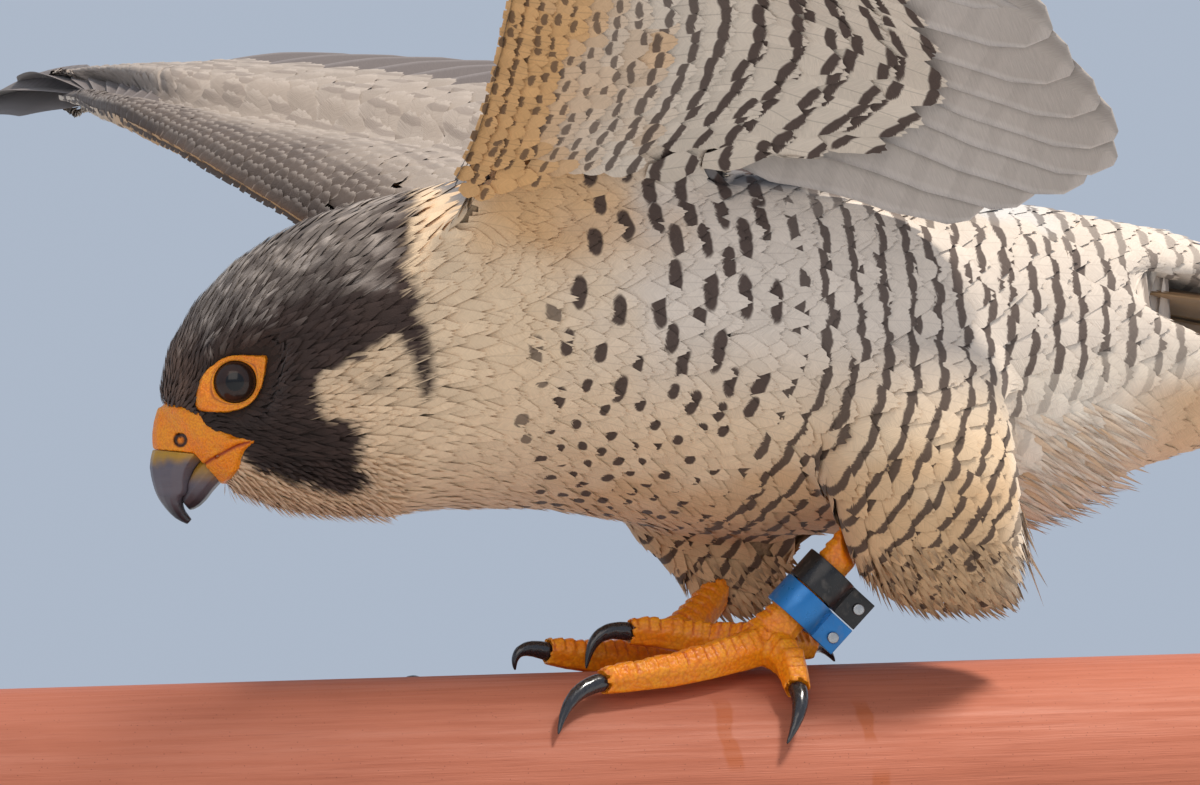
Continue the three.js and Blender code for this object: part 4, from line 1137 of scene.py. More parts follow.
def stand_finish(name, perch):
    f = Finish(name, 0.5, Metallic=0.2, Specular_IOR_Level=0.45)
    orange_peel = f.noise(f.place, 1400, 2)
    blot = f.noise(f.place, 40, 3)
    base = f.mix(f.ramp(blot, 0.3, 0.7), tuple(perch.stand), toned(perch.stand, 1.35))
    return f.finish(base, f.ramp(blot, 0.3, 0.7, 0.42, 0.56), f.bump(orange_peel, 0.0003, 0.3))


def plain_finish(name, base, roughness):
    f = Finish(name, roughness, Specular_IOR_Level=0.2)
    return f.finish(f.mix(f.noise(f.place, 30, 2), tuple(base), toned(base, 0.97)))


# Markings


def patch(x, z, middle_x, middle_z, wide, tall):
    """1 in the middle of a soft oval patch, falling off round it."""
    return np.exp(-(((x - middle_x) / wide) ** 2 + ((z - middle_z) / tall) ** 2))


def head_colours(points, plumage, chance):
    """Ground colour of the head and neck at points. chance, 0 to 1, ruffles each feather's edge."""
    shape = points.shape[:-1]
    points = points.reshape(-1, 3)
    local = in_head(points)
    flat = local[:, [0, 2]]
    ahead, height = flat.T
    chance = np.broadcast_to(chance, shape).ravel() - 0.5
    wobble = (value_noise(points, 3.0, 5) - 0.5) * 2.2 + chance * 2.4
    hood = smooth(line_distance(flat, HOOD_LINE) + wobble, -1.1, 1.1)
    hood = np.maximum(hood, smooth(height, -20.5, -19) * smooth(ahead, -12, -5))
    # Painted sheen: inside the sheen line the crown and nape are paled in flecks to a silvery grey.
    silver_and_sheen = smooth(line_distance(flat, SHEEN_LINE) + 4 * wobble, -6, 8)
    lean = flat @ np.array([[0.82, -0.57], [0.57, 0.82]])
    streak = value_noise(np.column_stack([lean[:, 0] * 0.16, lean[:, 1], local[:, 1] * 0.5]), 1.5, 9)
    fleck = smooth(streak + 0.14 * chance, 0.3, 0.9)
    dark = blend(plumage.hood, plumage.silver_and_sheen, silver_and_sheen * (0.4 + 0.6 * fleck) * 0.8)
    front = smooth(ahead, 6, 20) * smooth(height, -12, 2)
    dark = blend(dark, plumage.forehead, front * (0.35 + 0.4 * fleck))
    dark = dark * (1 - 0.45 * patch(ahead, height, 9, -10.5, 5, 3.4)[:, None])
    dark = dark * (1 - 0.35 * (smooth(height, -6, -16) * smooth(ahead, -40, -10))[:, None])
    dark = dark * (0.86 + 0.34 * fleck)[:, None]
    pale = np.broadcast_to(np.array(plumage.cream), (len(points), 3))
    warm = value_noise(points, 12, 31)
    pale = blend(pale, plumage.belly, 0.35 * warm * smooth(ahead, -70, -20))
    cheek = value_noise(np.column_stack([lean[:, 0] * 0.3, lean[:, 1], local[:, 1]]), 2.2, 3)
    smudge = patch(ahead, height, -40, -1, 5, 4) + 0.7 * patch(ahead, height, -32, -17, 4, 3)
    pale = blend(pale, plumage.hood, np.clip(smudge * smooth(cheek, 0.35, 0.7), 0, 1) * 0.7)
    colours = blend(pale, dark, hood) * (1 + 0.1 * chance)[:, None]
    return colours.reshape(*shape, 3), hood.reshape(shape)


def body_colours(points, plumage, chance, high):
    """Ground colour of the body at points. chance, 0 to 1, varies each feather. high is the
    outward direction's upward share, which parts the wings' upper faces from the undersides."""
    x, z = points[..., 0], points[..., 2]
    _, sine = along_body(points)
    flat = points.reshape(-1, 3)
    lumps = value_noise(flat, 9, 11).reshape(x.shape) - 0.5
    above = smooth(sine + 0.12 * lumps, 0.74, 0.86) * smooth(high, 0.1, 0.45) * smooth(x, 150, 120)
    back = blend(plumage.back, plumage.rump, smooth(x, 60, 120))
    under = blend(plumage.cream, plumage.flank, smooth(x + 22 * lumps, -42, 10) * smooth(sine, -0.7, 0.1))
    warm = smooth(z + 20 * lumps, 190, 168) * smooth(x, -60, 0) * smooth(x, 130, 90)
    under = blend(under, plumage.belly, warm * 0.8)
    shoulder = smooth(z + 16 * lumps, 232, 254) * smooth(x + 26 * lumps, 20, -30) * smooth(x, -58, -44)
    under = blend(under, plumage.wing_buff, shoulder * 0.8)
    under = blend(under, plumage.wing_pale, smooth(z, 258, 272) * (1 - shoulder))
    behind = smooth(x + 14 * lumps, 104, 130) * smooth(sine, 0.1, -0.3)
    under = blend(under, plumage.vent, behind)
    tail_side = smooth(x, 140, 185) * smooth(sine, -0.1, -0.5)
    under = blend(under, plumage.belly, tail_side * 0.85)
    neck, _ = head_colours(points, plumage, chance)
    colours = blend(blend(under, back, above), neck, smooth(x, -50, -58))
    return colours * (0.95 + 0.1 * chance)[..., None]


def spot_places(hide, rng):
    """Middles of the breast's dashes and the belly's dots, wider apart towards the front."""
    def keep(points):
        _, sine = along_body(points)
        x, z = points[:, 0], points[:, 2]
        start = -38 + 16 * smooth(sine, -0.2, 0.5) + 14 * smooth(sine, -0.5, -0.9)
        return (x > start) & (bar_track(points) < 36) & (z < 272)
    def spacing(points):
        _, sine = along_body(points)
        return 6.0 + 2.9 * smooth(sine, -0.75, 0.0)
    places, normals = hide.scatter(spacing, keep, rng, 12.0)
    return places, normals, point_tree(places)


def bare_face(points):
    """True where the bill, cere, gape or eye ring leaves no room for a feather."""
    local = in_head(points.reshape(-1, 3))
    flat = local[:, [0, 2]]
    bare = line_distance(flat, BARE_LINE) > -0.1
    ring = (line_distance(flat, RING_LINE) > -0.15) & (np.abs(local[:, 1]) > 9)
    return (bare | ring).reshape(points.shape[:-1])


# Operators


class FALCON_OT_stage(bpy.types.Operator):
    """Adds the camera, the lights, the backdrop and the floor"""

    bl_idname = "falcon.stage"
    bl_label = "Stage"

    def execute(self, context):
        stage = context.scene.falcon_stage
        azimuth, elevation = stage.azimuth, stage.elevation
        back = Vector((
            math.sin(azimuth) * math.cos(elevation),
            -math.cos(azimuth) * math.cos(elevation),
            math.sin(elevation),
        ))
        data = bpy.data.cameras.new("falcon_camera")
        data.lens = stage.lens
        data.sensor_width = stage.sensor
        data.clip_start, data.clip_end = 0.05, 50
        camera = linked("falcon_camera", data)
        turn = (-back).to_track_quat("-Z", "Y") @ Matrix.Rotation(-stage.roll, 3, "Z").to_quaternion()
        camera.rotation_mode = "QUATERNION"
        camera.rotation_quaternion = turn
        camera.location = Vector((0, 0, stage.aim_height)) + back * stage.distance
        context.scene.camera = camera

        world = bpy.data.worlds.new("falcon_world")
        context.scene.world = world
        world.use_nodes = True
        shade = world.node_tree.nodes["Background"]
        shade.inputs["Color"].default_value = (*stage.sky, 1)
        shade.inputs["Strength"].default_value = SKY_LIGHT

        shape = bmesh.new()
        bmesh.ops.create_grid(shape, x_segments=1, y_segments=1, size=FLOOR_HALF)
        mesh = bpy.data.meshes.new("stage_floor")
        shape.to_mesh(mesh)
        shape.free()
        mesh.materials.append(plain_finish("floor_finish", stage.floor, 0.85))
        linked("stage_floor", mesh)

        for name, spot, power, size, tone in LAMPS:
            lamp = bpy.data.lights.new(name, "AREA")
            lamp.energy, lamp.size, lamp.color = power, size, tone
            holder = linked(name, lamp)
            holder.location = spot
            holder.rotation_mode = "QUATERNION"
            holder.rotation_quaternion = (LAMP_AIM - Vector(spot)).to_track_quat("-Z", "Y")
        context.scene.view_settings.view_transform = "Standard"
        return {"FINISHED"}


class FALCON_OT_skin(bpy.types.Operator):
    """Builds one skin under the whole coat, with the coat's own markings darkened as painted shade"""

    bl_idname = "falcon.skin"
    bl_label = "Skin"

    def execute(self, context):
        plumage = context.scene.falcon_plumage
        flesh = ["head", "neck", "torso", "thigh_left", "thigh_right"]
        shape = merged_copy([*flesh, "lids_left", "lids_right", "eye_left", "eye_right"], 0.0005)
        for side in ("left", "right"):
            self.add_arm(shape, side)
        bmesh.ops.recalc_face_normals(shape, faces=shape.faces)
        mesh = melted(shape, "falcon_skin", SKIN_VOXEL, 6)
        self.fill_corners(mesh)
        points = mesh_points(mesh)
        local = in_head(points)
        outside = -line_distance(local[:, [0, 2]], RING_LINE)
        level = RING_LEVEL - 0.6 + 0.6 * np.clip(outside, 0, None) - 0.5 * smooth(outside, 0, -2)
        over = np.clip(np.abs(local[:, 1]) - level, 0, None) * smooth(outside, 7, 4)
        set_points(mesh, points - (np.sign(local[:, 1]) * over)[:, None] * HEAD_LEFT)
        HIDE["skin"] = Hide(mesh)
        points = mesh_points(mesh)
        face = smooth(points[:, 0], -70, -100)
        depth = plumage.coat_depth / MM * (1 - 0.62 * face)
        depth = np.where(points[:, 2] > 284, 0.6, depth)
        points = points - mesh_normals(mesh) * depth[:, None]
        set_points(mesh, points)
        high = mesh_normals(mesh)[:, 2]
        # Painted shade: the skin shows only in the gaps between feathers, so it takes the coat's colours at
        # 70 per cent.
        set_tint(mesh, body_colours(points, plumage, np.full(len(points), 0.5), high) * 0.7)
        place("falcon_skin", mesh, skin_finish("skin_finish"), "breast_plumage",
              *flesh, "wing_left", "wing_right", "tail")
        return {"FINISHED"}

    def add_arm(self, shape, side):
        """Adds a wing's flesh as a closed tube. Its section: share to the rear edge, and of thickness."""
        section = ((0.04, 0), (0.16, 0.24), (0.5, 0.3), (0.9, 0.1), (0.9, -0.08), (0.5, -0.2), (0.16, -0.18))
        flesh = np.array(WINGS[side]["flesh"], float)
        up = flight_at(side, 8)[2]
        rings = []
        for row in spline(range(len(flesh)), flesh, np.linspace(0, 6.8, 24)):
            lead, rear, thick = row[:3], row[3:6], row[6]
            back = unit(rear - lead)
            normal = unit(up - back * (up @ back))
            spots = [lead + (rear - lead) * along + normal * thick * out for along, out in section]
            rings.append([shape.verts.new(Vector(spot) * MM) for spot in spots])
        loops = [
            [shape.edges.new(pair) for pair in zip(ring, ring[1:] + ring[:1])] for ring in rings
        ]
        for first, second in zip(loops, loops[1:]):
            bmesh.ops.bridge_loops(shape, edges=first + second)
        for ring in (rings[0], rings[-1]):
            shape.faces.new(ring)

    def fill_corners(self, mesh, rounds=36):
        """Eases the creases where thighs and wings join the body, away from the face."""
        points = mesh_points(mesh)
        edges = read(mesh.edges, "vertices", 2, np.int32)
        first, second = edges.T
        edges = edges.ravel()
        near = np.bincount(edges, minlength=len(points))[:, None]
        wing_root = smooth(points[:, 0], -84, -70) * smooth(points[:, 1], -20, -30)
        body = np.maximum(smooth(points[:, 0], -72, -50), wing_root) * smooth(points[:, 2], 300, 276)
        body = body * smooth(points[:, 2], 144, 156)
        for _ in range(rounds):
            total = np.zeros_like(points)
            for axis in range(3):
                total[:, axis] = np.bincount(first, points[second, axis], len(points))
                total[:, axis] += np.bincount(second, points[first, axis], len(points))
            drift = total / near - points
            points = points + drift * (0.6 * body)[:, None]
        set_points(mesh, points)


class FALCON_OT_head_feathers(bpy.types.Operator):
    """Lays the small feathers of the face, crown, cheeks, throat and neck"""

    bl_idname = "falcon.head_feathers"
    bl_label = "Head Feathers"

    def execute(self, context):
        plumage = context.scene.falcon_plumage
        rng = np.random.default_rng(SEED + 1)
        hide = HIDE["skin"]
        coat = Coat()

        def distance(points):
            return np.linalg.norm(points - FAN_SOURCE, axis=-1)

        def tint(points, barb):
            return body_colours(points, plumage, barb[..., 2], np.zeros_like(barb[..., 2]))

        def spacing(points):
            return np.interp(distance(points), [0, 25, 60, 95], [0.95, 1.2, 1.9, 3.2])

        roots, normals = hide.scatter(spacing, lambda points: points[:, 0] < -38, rng)
        keep = ~bare_face(roots)
        roots, normals = roots[keep], normals[keep]
        ways = lie(roots, normals)
        far = distance(roots)
        length = np.interp(far, [0, 22, 60, 95], [3.2, 5.4, 10.5, 16.0]) * rng.uniform(0.85, 1.15, len(far))
        for _ in range(5):
            tips = roots + ways * (length * 1.02)[:, None]
            length = np.where(bare_face(tips) | bare_face(roots + ways * (length * 0.6)[:, None]),
                              length * 0.8, length)
        keep = ~bare_face(roots + ways * length[:, None])
        roots, normals, ways, far, length = (v[keep] for v in (roots, normals, ways, far, length))
        width = np.interp(far, [0, 25, 60, 95], [1.2, 1.5, 2.7, 5.2])
        depth = np.interp(far, [0, 20, 60, 95], [0.5, 0.9, 1.6, 2.4])
        cell = unwrap(roots)
        for chosen, vane in ((far < 52, Vane(4, 4, 0.6, 0.0, 0.6, 0.7)),
                             (far >= 52, Vane(5, 7, 0.55, 0.12, 0.5, 0.5))):
            spread = hide_spread(hide, roots[chosen], normals[chosen], ways[chosen])
            coat.lay(spread, cell[chosen], length[chosen], width[chosen], vane, tint, rng,
                     depth=depth[chosen], lift=0.12, cup=0.12)

        def throat(points):
            return (points[:, 0] < -70) & (in_head(points)[:, 2] < -24)

        roots, normals = hide.scatter(1.5, throat, rng)
        keep = (normals[:, 2] < -0.35) & ~bare_face(roots) & ~bare_face(roots + np.array([2.0, 0, 0]))
        roots, normals = roots[keep], normals[keep]
        ways = unit(lie(roots, normals) + 0.42 * normals)
        coat.lay(strand_spread(roots, normals, ways), unwrap(roots), rng.uniform(3.5, 7, len(roots)), 1.3,
                 Vane(5, 3, 0.5, 0.2, 0.6, 0.9), tint, rng, depth=0.5, lift=0.1, cup=0.1)
        coat.build("head_feathers", plumage_finish("head_plumage", plumage, 0.35), "hood_plumage")
        return {"FINISHED"}


class FALCON_OT_body_feathers(bpy.types.Operator):
    """Lays the feathers of breast, flank, thighs, back, rump and undertail on the skin"""

    bl_idname = "falcon.body_feathers"
    bl_label = "Body Feathers"

    def execute(self, context):
        plumage = context.scene.falcon_plumage
        hide = HIDE["skin"]
        finish = plumage_finish("body_plumage", plumage, 0.4, 0.14)
        rng = np.random.default_rng(SEED + 2)
        spots, spot_normals, tree = spot_places(hide, rng)

        def front(points):
            ahead = points[:, 0] > np.where(points[:, 2] > 236, -62, -52)
            return ahead & (bar_track(points) < 34) & (points[:, 2] > 150) & self.near(points)

        def rear(points):
            behind = (bar_track(points) >= 26) & (points[:, 0] < 206) & (points[:, 2] > 141)
            return behind & self.near(points)

        coat = Coat()
        roots, normals = hide.scatter(3.9, front, rng)
        ways = lie(roots, normals)
        middle = roots + ways * 9
        nearest = np.array([tree.find(point)[1] for point in middle.tolist()])
        centre, facing = spots[nearest], spot_normals[nearest]
        along = lie(centre, facing)
        aside = np.cross(facing, along)
        _, sine = along_body(centre)
        chance = rng.random(len(spots))[nearest]
        tall = smooth(sine + 0.3 * (chance - 0.5), -0.55, -0.05)
        rearward = smooth(bar_track(centre), -10, 36)
        half = 1.9 + 2.9 * tall * (0.7 + 0.6 * chance) + 2.6 * tall * rearward
        strength = np.where(centre[:, 0] < -30, 0.75, 0.95) * (chance > 0.06)
        gauge = rows_of(1.45 + 0.6 * tall + 0.3 * chance, UNMARKED[1], strength)

        def spot_mark(points, barb):
            apart = points - centre[:, None]
            beside = (apart * aside[:, None]).sum(axis=-1)
            return rows_of(beside, (apart * along[:, None]).sum(axis=-1), half[:, None])

        def tint(points, barb):
            return body_colours(points, plumage, barb[..., 2], normals[:, None, 2])

        coat.lay(hide_spread(hide, roots, normals, ways), unwrap(roots), rng.uniform(13, 17, len(roots)),
                 rng.uniform(7, 9.5, len(roots)), Vane(6, 9, 0.5, 0.08, 0.4, 0.5), tint, rng,
                 spot_mark, gauge, depth=1.9, lift=0.2, cup=0.25)
        coat.build("breast_feathers", finish, "breast_plumage")

        coat = Coat()
        roots, normals = hide.scatter(5.2, rear, rng)
        ways = lie(roots, normals)
        _, sine = along_body(roots)
        x, z = roots[:, 0], roots[:, 2]
        low = smooth(z, 176, 150)
        length = rng.uniform(19, 24, len(roots)) * (1 - 0.5 * low)
        length = length * (1 - 0.45 * smooth(x, 78, 98) * smooth(z, 200, 176) * smooth(x, 124, 112))
        width = rng.uniform(11, 14, len(roots)) * (1 - 0.35 * low)
        vent = smooth(x, 100, 122) * smooth(sine, 0.0, -0.35)
        top = smooth(sine, 0.62, 0.78)
        strength = (0.9 - 0.25 * top) * (1 - vent) * (1 - 0.35 * smooth(x, 120, 180))
        half = np.where(top > 0.5, 9.0, 7.0 + 6 * rng.random(len(roots))) * (1 - 0.6 * low)
        half = np.maximum(half, 2.0)
        bar = plumage.bar_width / MM / 2 * rng.uniform(0.8, 1.1, len(roots))
        gauge = rows_of(bar, plumage.bar_pitch / MM / 2, strength)
        offset = rng.normal(0, 0.9, len(roots))
        shift = rng.uniform(-3, 3, len(roots))

        def bar_mark(points, barb):
            track = bar_track(points) + offset[:, None] + 0.12 * np.abs(barb[..., 0])
            return rows_of(barb[..., 0] + shift[:, None], track, half[:, None])

        every = (roots, normals, ways, offset, shift, half, length, width, gauge)
        hairy = low > 0.45
        for chosen, vane, lift in ((~hairy, Vane(8, 11, 0.42, 0.06, 0.4, 0.35), 0.35),
                                   (hairy, Vane(8, 9, 0.7, 0.2, 0.45, 0.75), 0.7)):
            roots, normals, ways, offset, shift, half, length, width, gauge = (v[chosen] for v in every)
            coat.lay(hide_spread(hide, roots, normals, ways), unwrap(roots), length, width, vane, tint,
                     rng, bar_mark, gauge, lift=lift, cup=0.4)
        coat.build("flank_feathers", finish, "barred_plumage")
        self.plume(hide, plumage, rng)
        return {"FINISHED"}

    def near(self, points):
        """Body, thighs and the roots of both wings."""
        left = (points[:, 1] < 0) & (points[:, 2] < 286)
        right = (points[:, 1] >= 0) & (points[:, 1] < 74) & (points[:, 2] < 290)
        return left | right

    def plume(self, hide, plumage, rng):
        """Long soft strands behind the thighs, and the fringe of the thighs' lower edge."""
        coat = Coat()

        def vent(points):
            _, sine = along_body(points)
            return (points[:, 0] > 113) & (points[:, 0] < 152) & (sine < -0.35) & (points[:, 2] > 162)

        def fringe(points):
            return (points[:, 2] > 139) & (points[:, 2] < 160) & (points[:, 1] < 60)

        for keep, gap, longest, fall, pale in ((vent, 2.3, 21, 0.3, 1.0), (fringe, 2.4, 8, 0.6, 0.0)):
            roots, normals = hide.scatter(gap, keep, rng)
            ways = lie(roots, normals) + np.array([0.25, 0, -fall])
            ways = unit(ways - normals * (ways * normals).sum(axis=1, keepdims=True) * 0.5)
            length = longest * rng.uniform(0.55, 1.1, len(roots))
            down = np.full(len(roots), pale) * rng.random(len(roots)) ** 0.4
            tone = blend(plumage.belly, plumage.vent, down)
            if not pale:
                tone = body_colours(roots, plumage, rng.random(len(roots)), normals[:, 2])
            tip = np.array(plumage.bar) * (3.0 if pale else 1.6)

            def tint(points, barb):
                near_tip = smooth(barb[..., 1], 5.0, 0.5) * (0.35 + 0.5 * barb[..., 2])
                return blend(np.broadcast_to(tone[:, None], (*barb.shape[:2], 3)), tip, near_tip)

            coat.lay(strand_spread(roots, normals, ways, 220), unwrap(roots), length, 2.6,
                     Vane(7, 5, 0.75, 0.25, 0.5, 0.9), tint, rng, depth=2.2, lift=0.6, cup=0.3)
        coat.build("vent_plume", plumage_finish("plume_plumage", plumage, 0.4), "breast_plumage")


class FALCON_OT_wing_coverts(bpy.types.Operator):
    """Lays the coverts on both faces of both wings"""

    bl_idname = "falcon.wing_coverts"
    bl_label = "Wing Coverts"

    def execute(self, context):
        plumage = context.scene.falcon_plumage
        finish = plumage_finish("covert_plumage", plumage, 0.45)
        for number, (side, face) in enumerate(
            (side, face) for side in ("left", "right") for face in (1, -1)
        ):
            rng = np.random.default_rng(SEED + 30 + number)
            wrap = wing_wrap(side, face)
            coat = Coat()
            i, j = wrap.rows(lambda at: 2.4 + 10.2 * at, lambda at: 3.0 + 7.2 * at, rng, 0.77, 0.16)
            out = j / wrap.shape[1]
            beyond = out > 0.04 + rng.uniform(0, 0.05, len(i))
            i, j, out = i[beyond], j[beyond], out[beyond]
            share = i / wrap.shape[0]
            roots, _ = wrap.at(i, j)
            lumps = value_noise(roots, 12, 17 + number) - 0.5
            count = len(i)
            length = 6 + 27 * share
            width = 5 + 10.5 * share
            chance = rng.random(count)
            if face < 0:
                golden = smooth(share + 0.25 * lumps, 0.3, 0.06) * smooth(out, 0.85, 0.35)
                tint = blend(plumage.wing_pale, plumage.wing_buff, golden)
                lead = smooth(share, 0.12, 0.42)
                strength = (0.75 + 0.2 * lead) * np.where(lead > 0.3, 1, chance > 0.25)
                half = 1.9 + 2.6 * lead + 1.2 * share
                bar = 1.0 + 1.0 * lead
                pitch = 4.4 + 1.2 * lead
                chevron = 0.16
            else:
                tint = np.broadcast_to(np.array(plumage.wing_upper), (count, 3))
                tint = blend(tint, plumage.hood, smooth(share + 0.1 * lumps, 0.26, 0.08) * 0.8)
                tint = blend(tint, plumage.silver_and_sheen, 0.5 * chance * smooth(share, 0.2, 0.4))
                strength = 0.3 * (chance > 0.4) * smooth(share, 0.2, 0.35)
                half, bar, pitch = np.full(count, 5.0), 2.2, 5.2
                chevron = 0.2
            tint = tint * (0.92 + 0.14 * rng.random(count))[:, None]
            first = 4.4 + rng.normal(0, 1.0, count)

            def mark(points, barb):
                track = barb[..., 1] - first[:, None] + chevron * np.abs(barb[..., 0])
                return rows_of(barb[..., 0], track, half[:, None])

            coat.lay(wrap_spread(wrap, i, j), rows_of(share, out), length, width,
                     Vane(9, 11, 0.4, 0.05, 0.5, 0.2), tint, rng, mark, rows_of(bar, pitch, strength),
                     depth=1.5, lift=0.35, cup=0.35, flip=wrap.turned,
                     edge=np.array(plumage.silver_and_sheen) * 1.15 if face > 0 else None)
            title = f"wing_{side}_{'upper' if face > 0 else 'under'}_coverts"
            coat.build(title, finish, "wing_feathers")
        return {"FINISHED"}


class FALCON_OT_flight_feathers(bpy.types.Operator):
    """Builds the flight feathers of both wings and the tail"""

    bl_idname = "falcon.flight_feathers"
    bl_label = "Flight and Tail Feathers"

    def execute(self, context):
        plumage = context.scene.falcon_plumage
        finish = plumage_finish("flight_plumage", plumage, 0.35)
        rng = np.random.default_rng(SEED + 50)
        for side in ("left", "right"):
            coat = Coat()
            for number in range(FLIGHT_COUNT):
                root, tip, up, distal = flight_at(side, number)
                along = unit(tip - root)
                edge = unit(distal - along * (distal @ along))
                high = unit(up - along * (up @ along) - edge * (up @ edge))
                across = edge * math.cos(FLIGHT_TILT) + high * math.sin(FLIGHT_TILT)
                normal = unit(high - across * (high @ across))

                def line(share):
                    return quill(side, number, share * 1.04 - 0.04)

                self.vane(coat, line, across, normal, np.linalg.norm(tip - root), FLIGHT_WIDTH,
                          POINTED_OUTLINE if number > FIRST_PRIMARY + 3 else ROUND_OUTLINE,
                          0.34 if number >= FIRST_PRIMARY else 0.42, plumage.flight_upper,
                          plumage.flight_under, (number + 0.5) / FLIGHT_COUNT, rng)
            coat.build(f"wing_{side}_flights", finish, "wing_feathers")
        coat = Coat()
        aim = np.array([math.cos(TAIL_SLOPE), 0, -math.sin(TAIL_SLOPE)])
        left = np.array([0, -math.cos(BODY_ROLL), math.sin(BODY_ROLL)])
        up = unit(np.cross(aim, left))
        up = up if up[2] > 0 else -up
        left = unit(left - aim * (left @ aim))
        root_half = TAIL_ROOT_HALF - 5
        for rank in range(TAIL_PAIRS):
            for side in (1, -1):
                share = (rank + 0.5) / TAIL_PAIRS
                start = TAIL_ROOT + aim * TAIL_QUILL + up * TAIL_STACK * (2.5 - rank)
                length = TAIL_LENGTH - TAIL_QUILL - 6 * share * share
                spread = math.tan(TAIL_SPREAD) * length

                def line(at):
                    out = side * share * (root_half + spread * at)
                    return start + aim * (length * at)[:, None] + left * out[:, None]

                self.vane(coat, line, left * side, up, length, TAIL_WIDTH, ROUND_OUTLINE, 0.4,
                          plumage.tail_upper, np.array(plumage.belly) * 0.55, 0.2 + 0.6 * share, rng,
                          inner=share * root_half, grow=share * spread, first=7.0)
        coat.build("tail_feathers", finish, "tail_feathers")
        return {"FINISHED"}

    def vane(self, coat, line, across, normal, length, width, outline, outer_share, upper, under, cell,
             rng, inner=None, grow=0.0, first=8.0, along=30, webs=11):
        """A thin closed vane with a raised shaft, its two faces coloured apart."""
        share = np.linspace(0, 1, along)
        web = np.linspace(-1, 1, webs)
        half = width / 2 * np.interp(share, *outline)
        offset = (half * (1 - 2 * outer_share))[:, None]
        reach = half[:, None] * web[None]
        if inner is not None:
            reach = np.maximum(reach, -(inner + grow * share)[:, None] + 0.4)
        from_shaft = reach - offset
        from_tip = (1 - share)[:, None] * length
        ridge = 0.35 * np.exp(-((from_shaft / 0.7) ** 2)) * (1 - 0.7 * share[:, None])
        curl = -0.03 * np.abs(reach) ** 1.5 / 3
        base = line(share)[:, None] + across[None, None] * reach[..., None]
        outer_web = smooth(from_shaft, 0.0, half[:, None] * 0.5)
        inner_bars = smooth(-from_shaft, -2, 4) * smooth(share[:, None], 0.94, 0.8)
        rim = smooth(np.maximum(np.abs(web)[None], smooth(share[:, None], 0.93, 1.0)), 0.84, 1.0)
        fields = [[] for _ in range(5)]
        for face in (1, -1):
            lift = curl + face * (0.22 * (1 - (web[None] ** 8)) + ridge)
            tone = np.broadcast_to(np.array(upper if face > 0 else under), (along, webs, 3))
            if face < 0:
                darker = 0.2 * outer_web + 0.12 * smooth(share[:, None], 0.75, 0.98)
                tone = tone * (1 - darker)[..., None]
            tone = blend(tone, np.clip(tone * 1.5 + 0.06, 0, 0.85), 0.6 * rim)
            rows = (
                base + normal[None, None] * lift[..., None], tone,
                rows_of(from_shaft, from_tip, rng.random()),
                rows_of(from_shaft, from_tip - first, 60.0),
                rows_of(2.1, 6.0, (0.08 if face < 0 else 0.3) * inner_bars),
            )
            for field, values in zip(fields, rows):
                field.append(values.reshape(-1, 3))
        points, *layers = (np.concatenate(field) for field in fields)
        size = along * webs
        index = np.arange(size).reshape(along, webs)
        quads = np.stack([index[:-1, :-1], index[1:, :-1], index[1:, 1:], index[:-1, 1:]], axis=-1)
        quads = quads.reshape(-1, 4)
        border = np.concatenate([index[0, :], index[1:, -1], index[-1, -2::-1], index[-2:0:-1, 0]])
        after = np.roll(border, -1)
        walls = np.stack([border, after, after + size, border + size], axis=-1)
        faces = np.concatenate([quads, quads[:, ::-1] + size, walls])
        first_face = points[faces[0]]
        facing = np.cross(first_face[1] - first_face[0], first_face[2] - first_face[0]) @ normal
        if facing < 0:
            faces = faces[:, ::-1]
        bake = np.zeros((2, along, webs, 2))
        bake[..., 0] = cell + 0.018 * web[None, None] * 0.9
        bake[0, ..., 1] = 0.02 + 0.46 * share[:, None]
        bake[1, ..., 1] = 0.52 + 0.46 * share[:, None]
        coat.parts.append((faces, points, *layers, bake.reshape(-1, 2)))


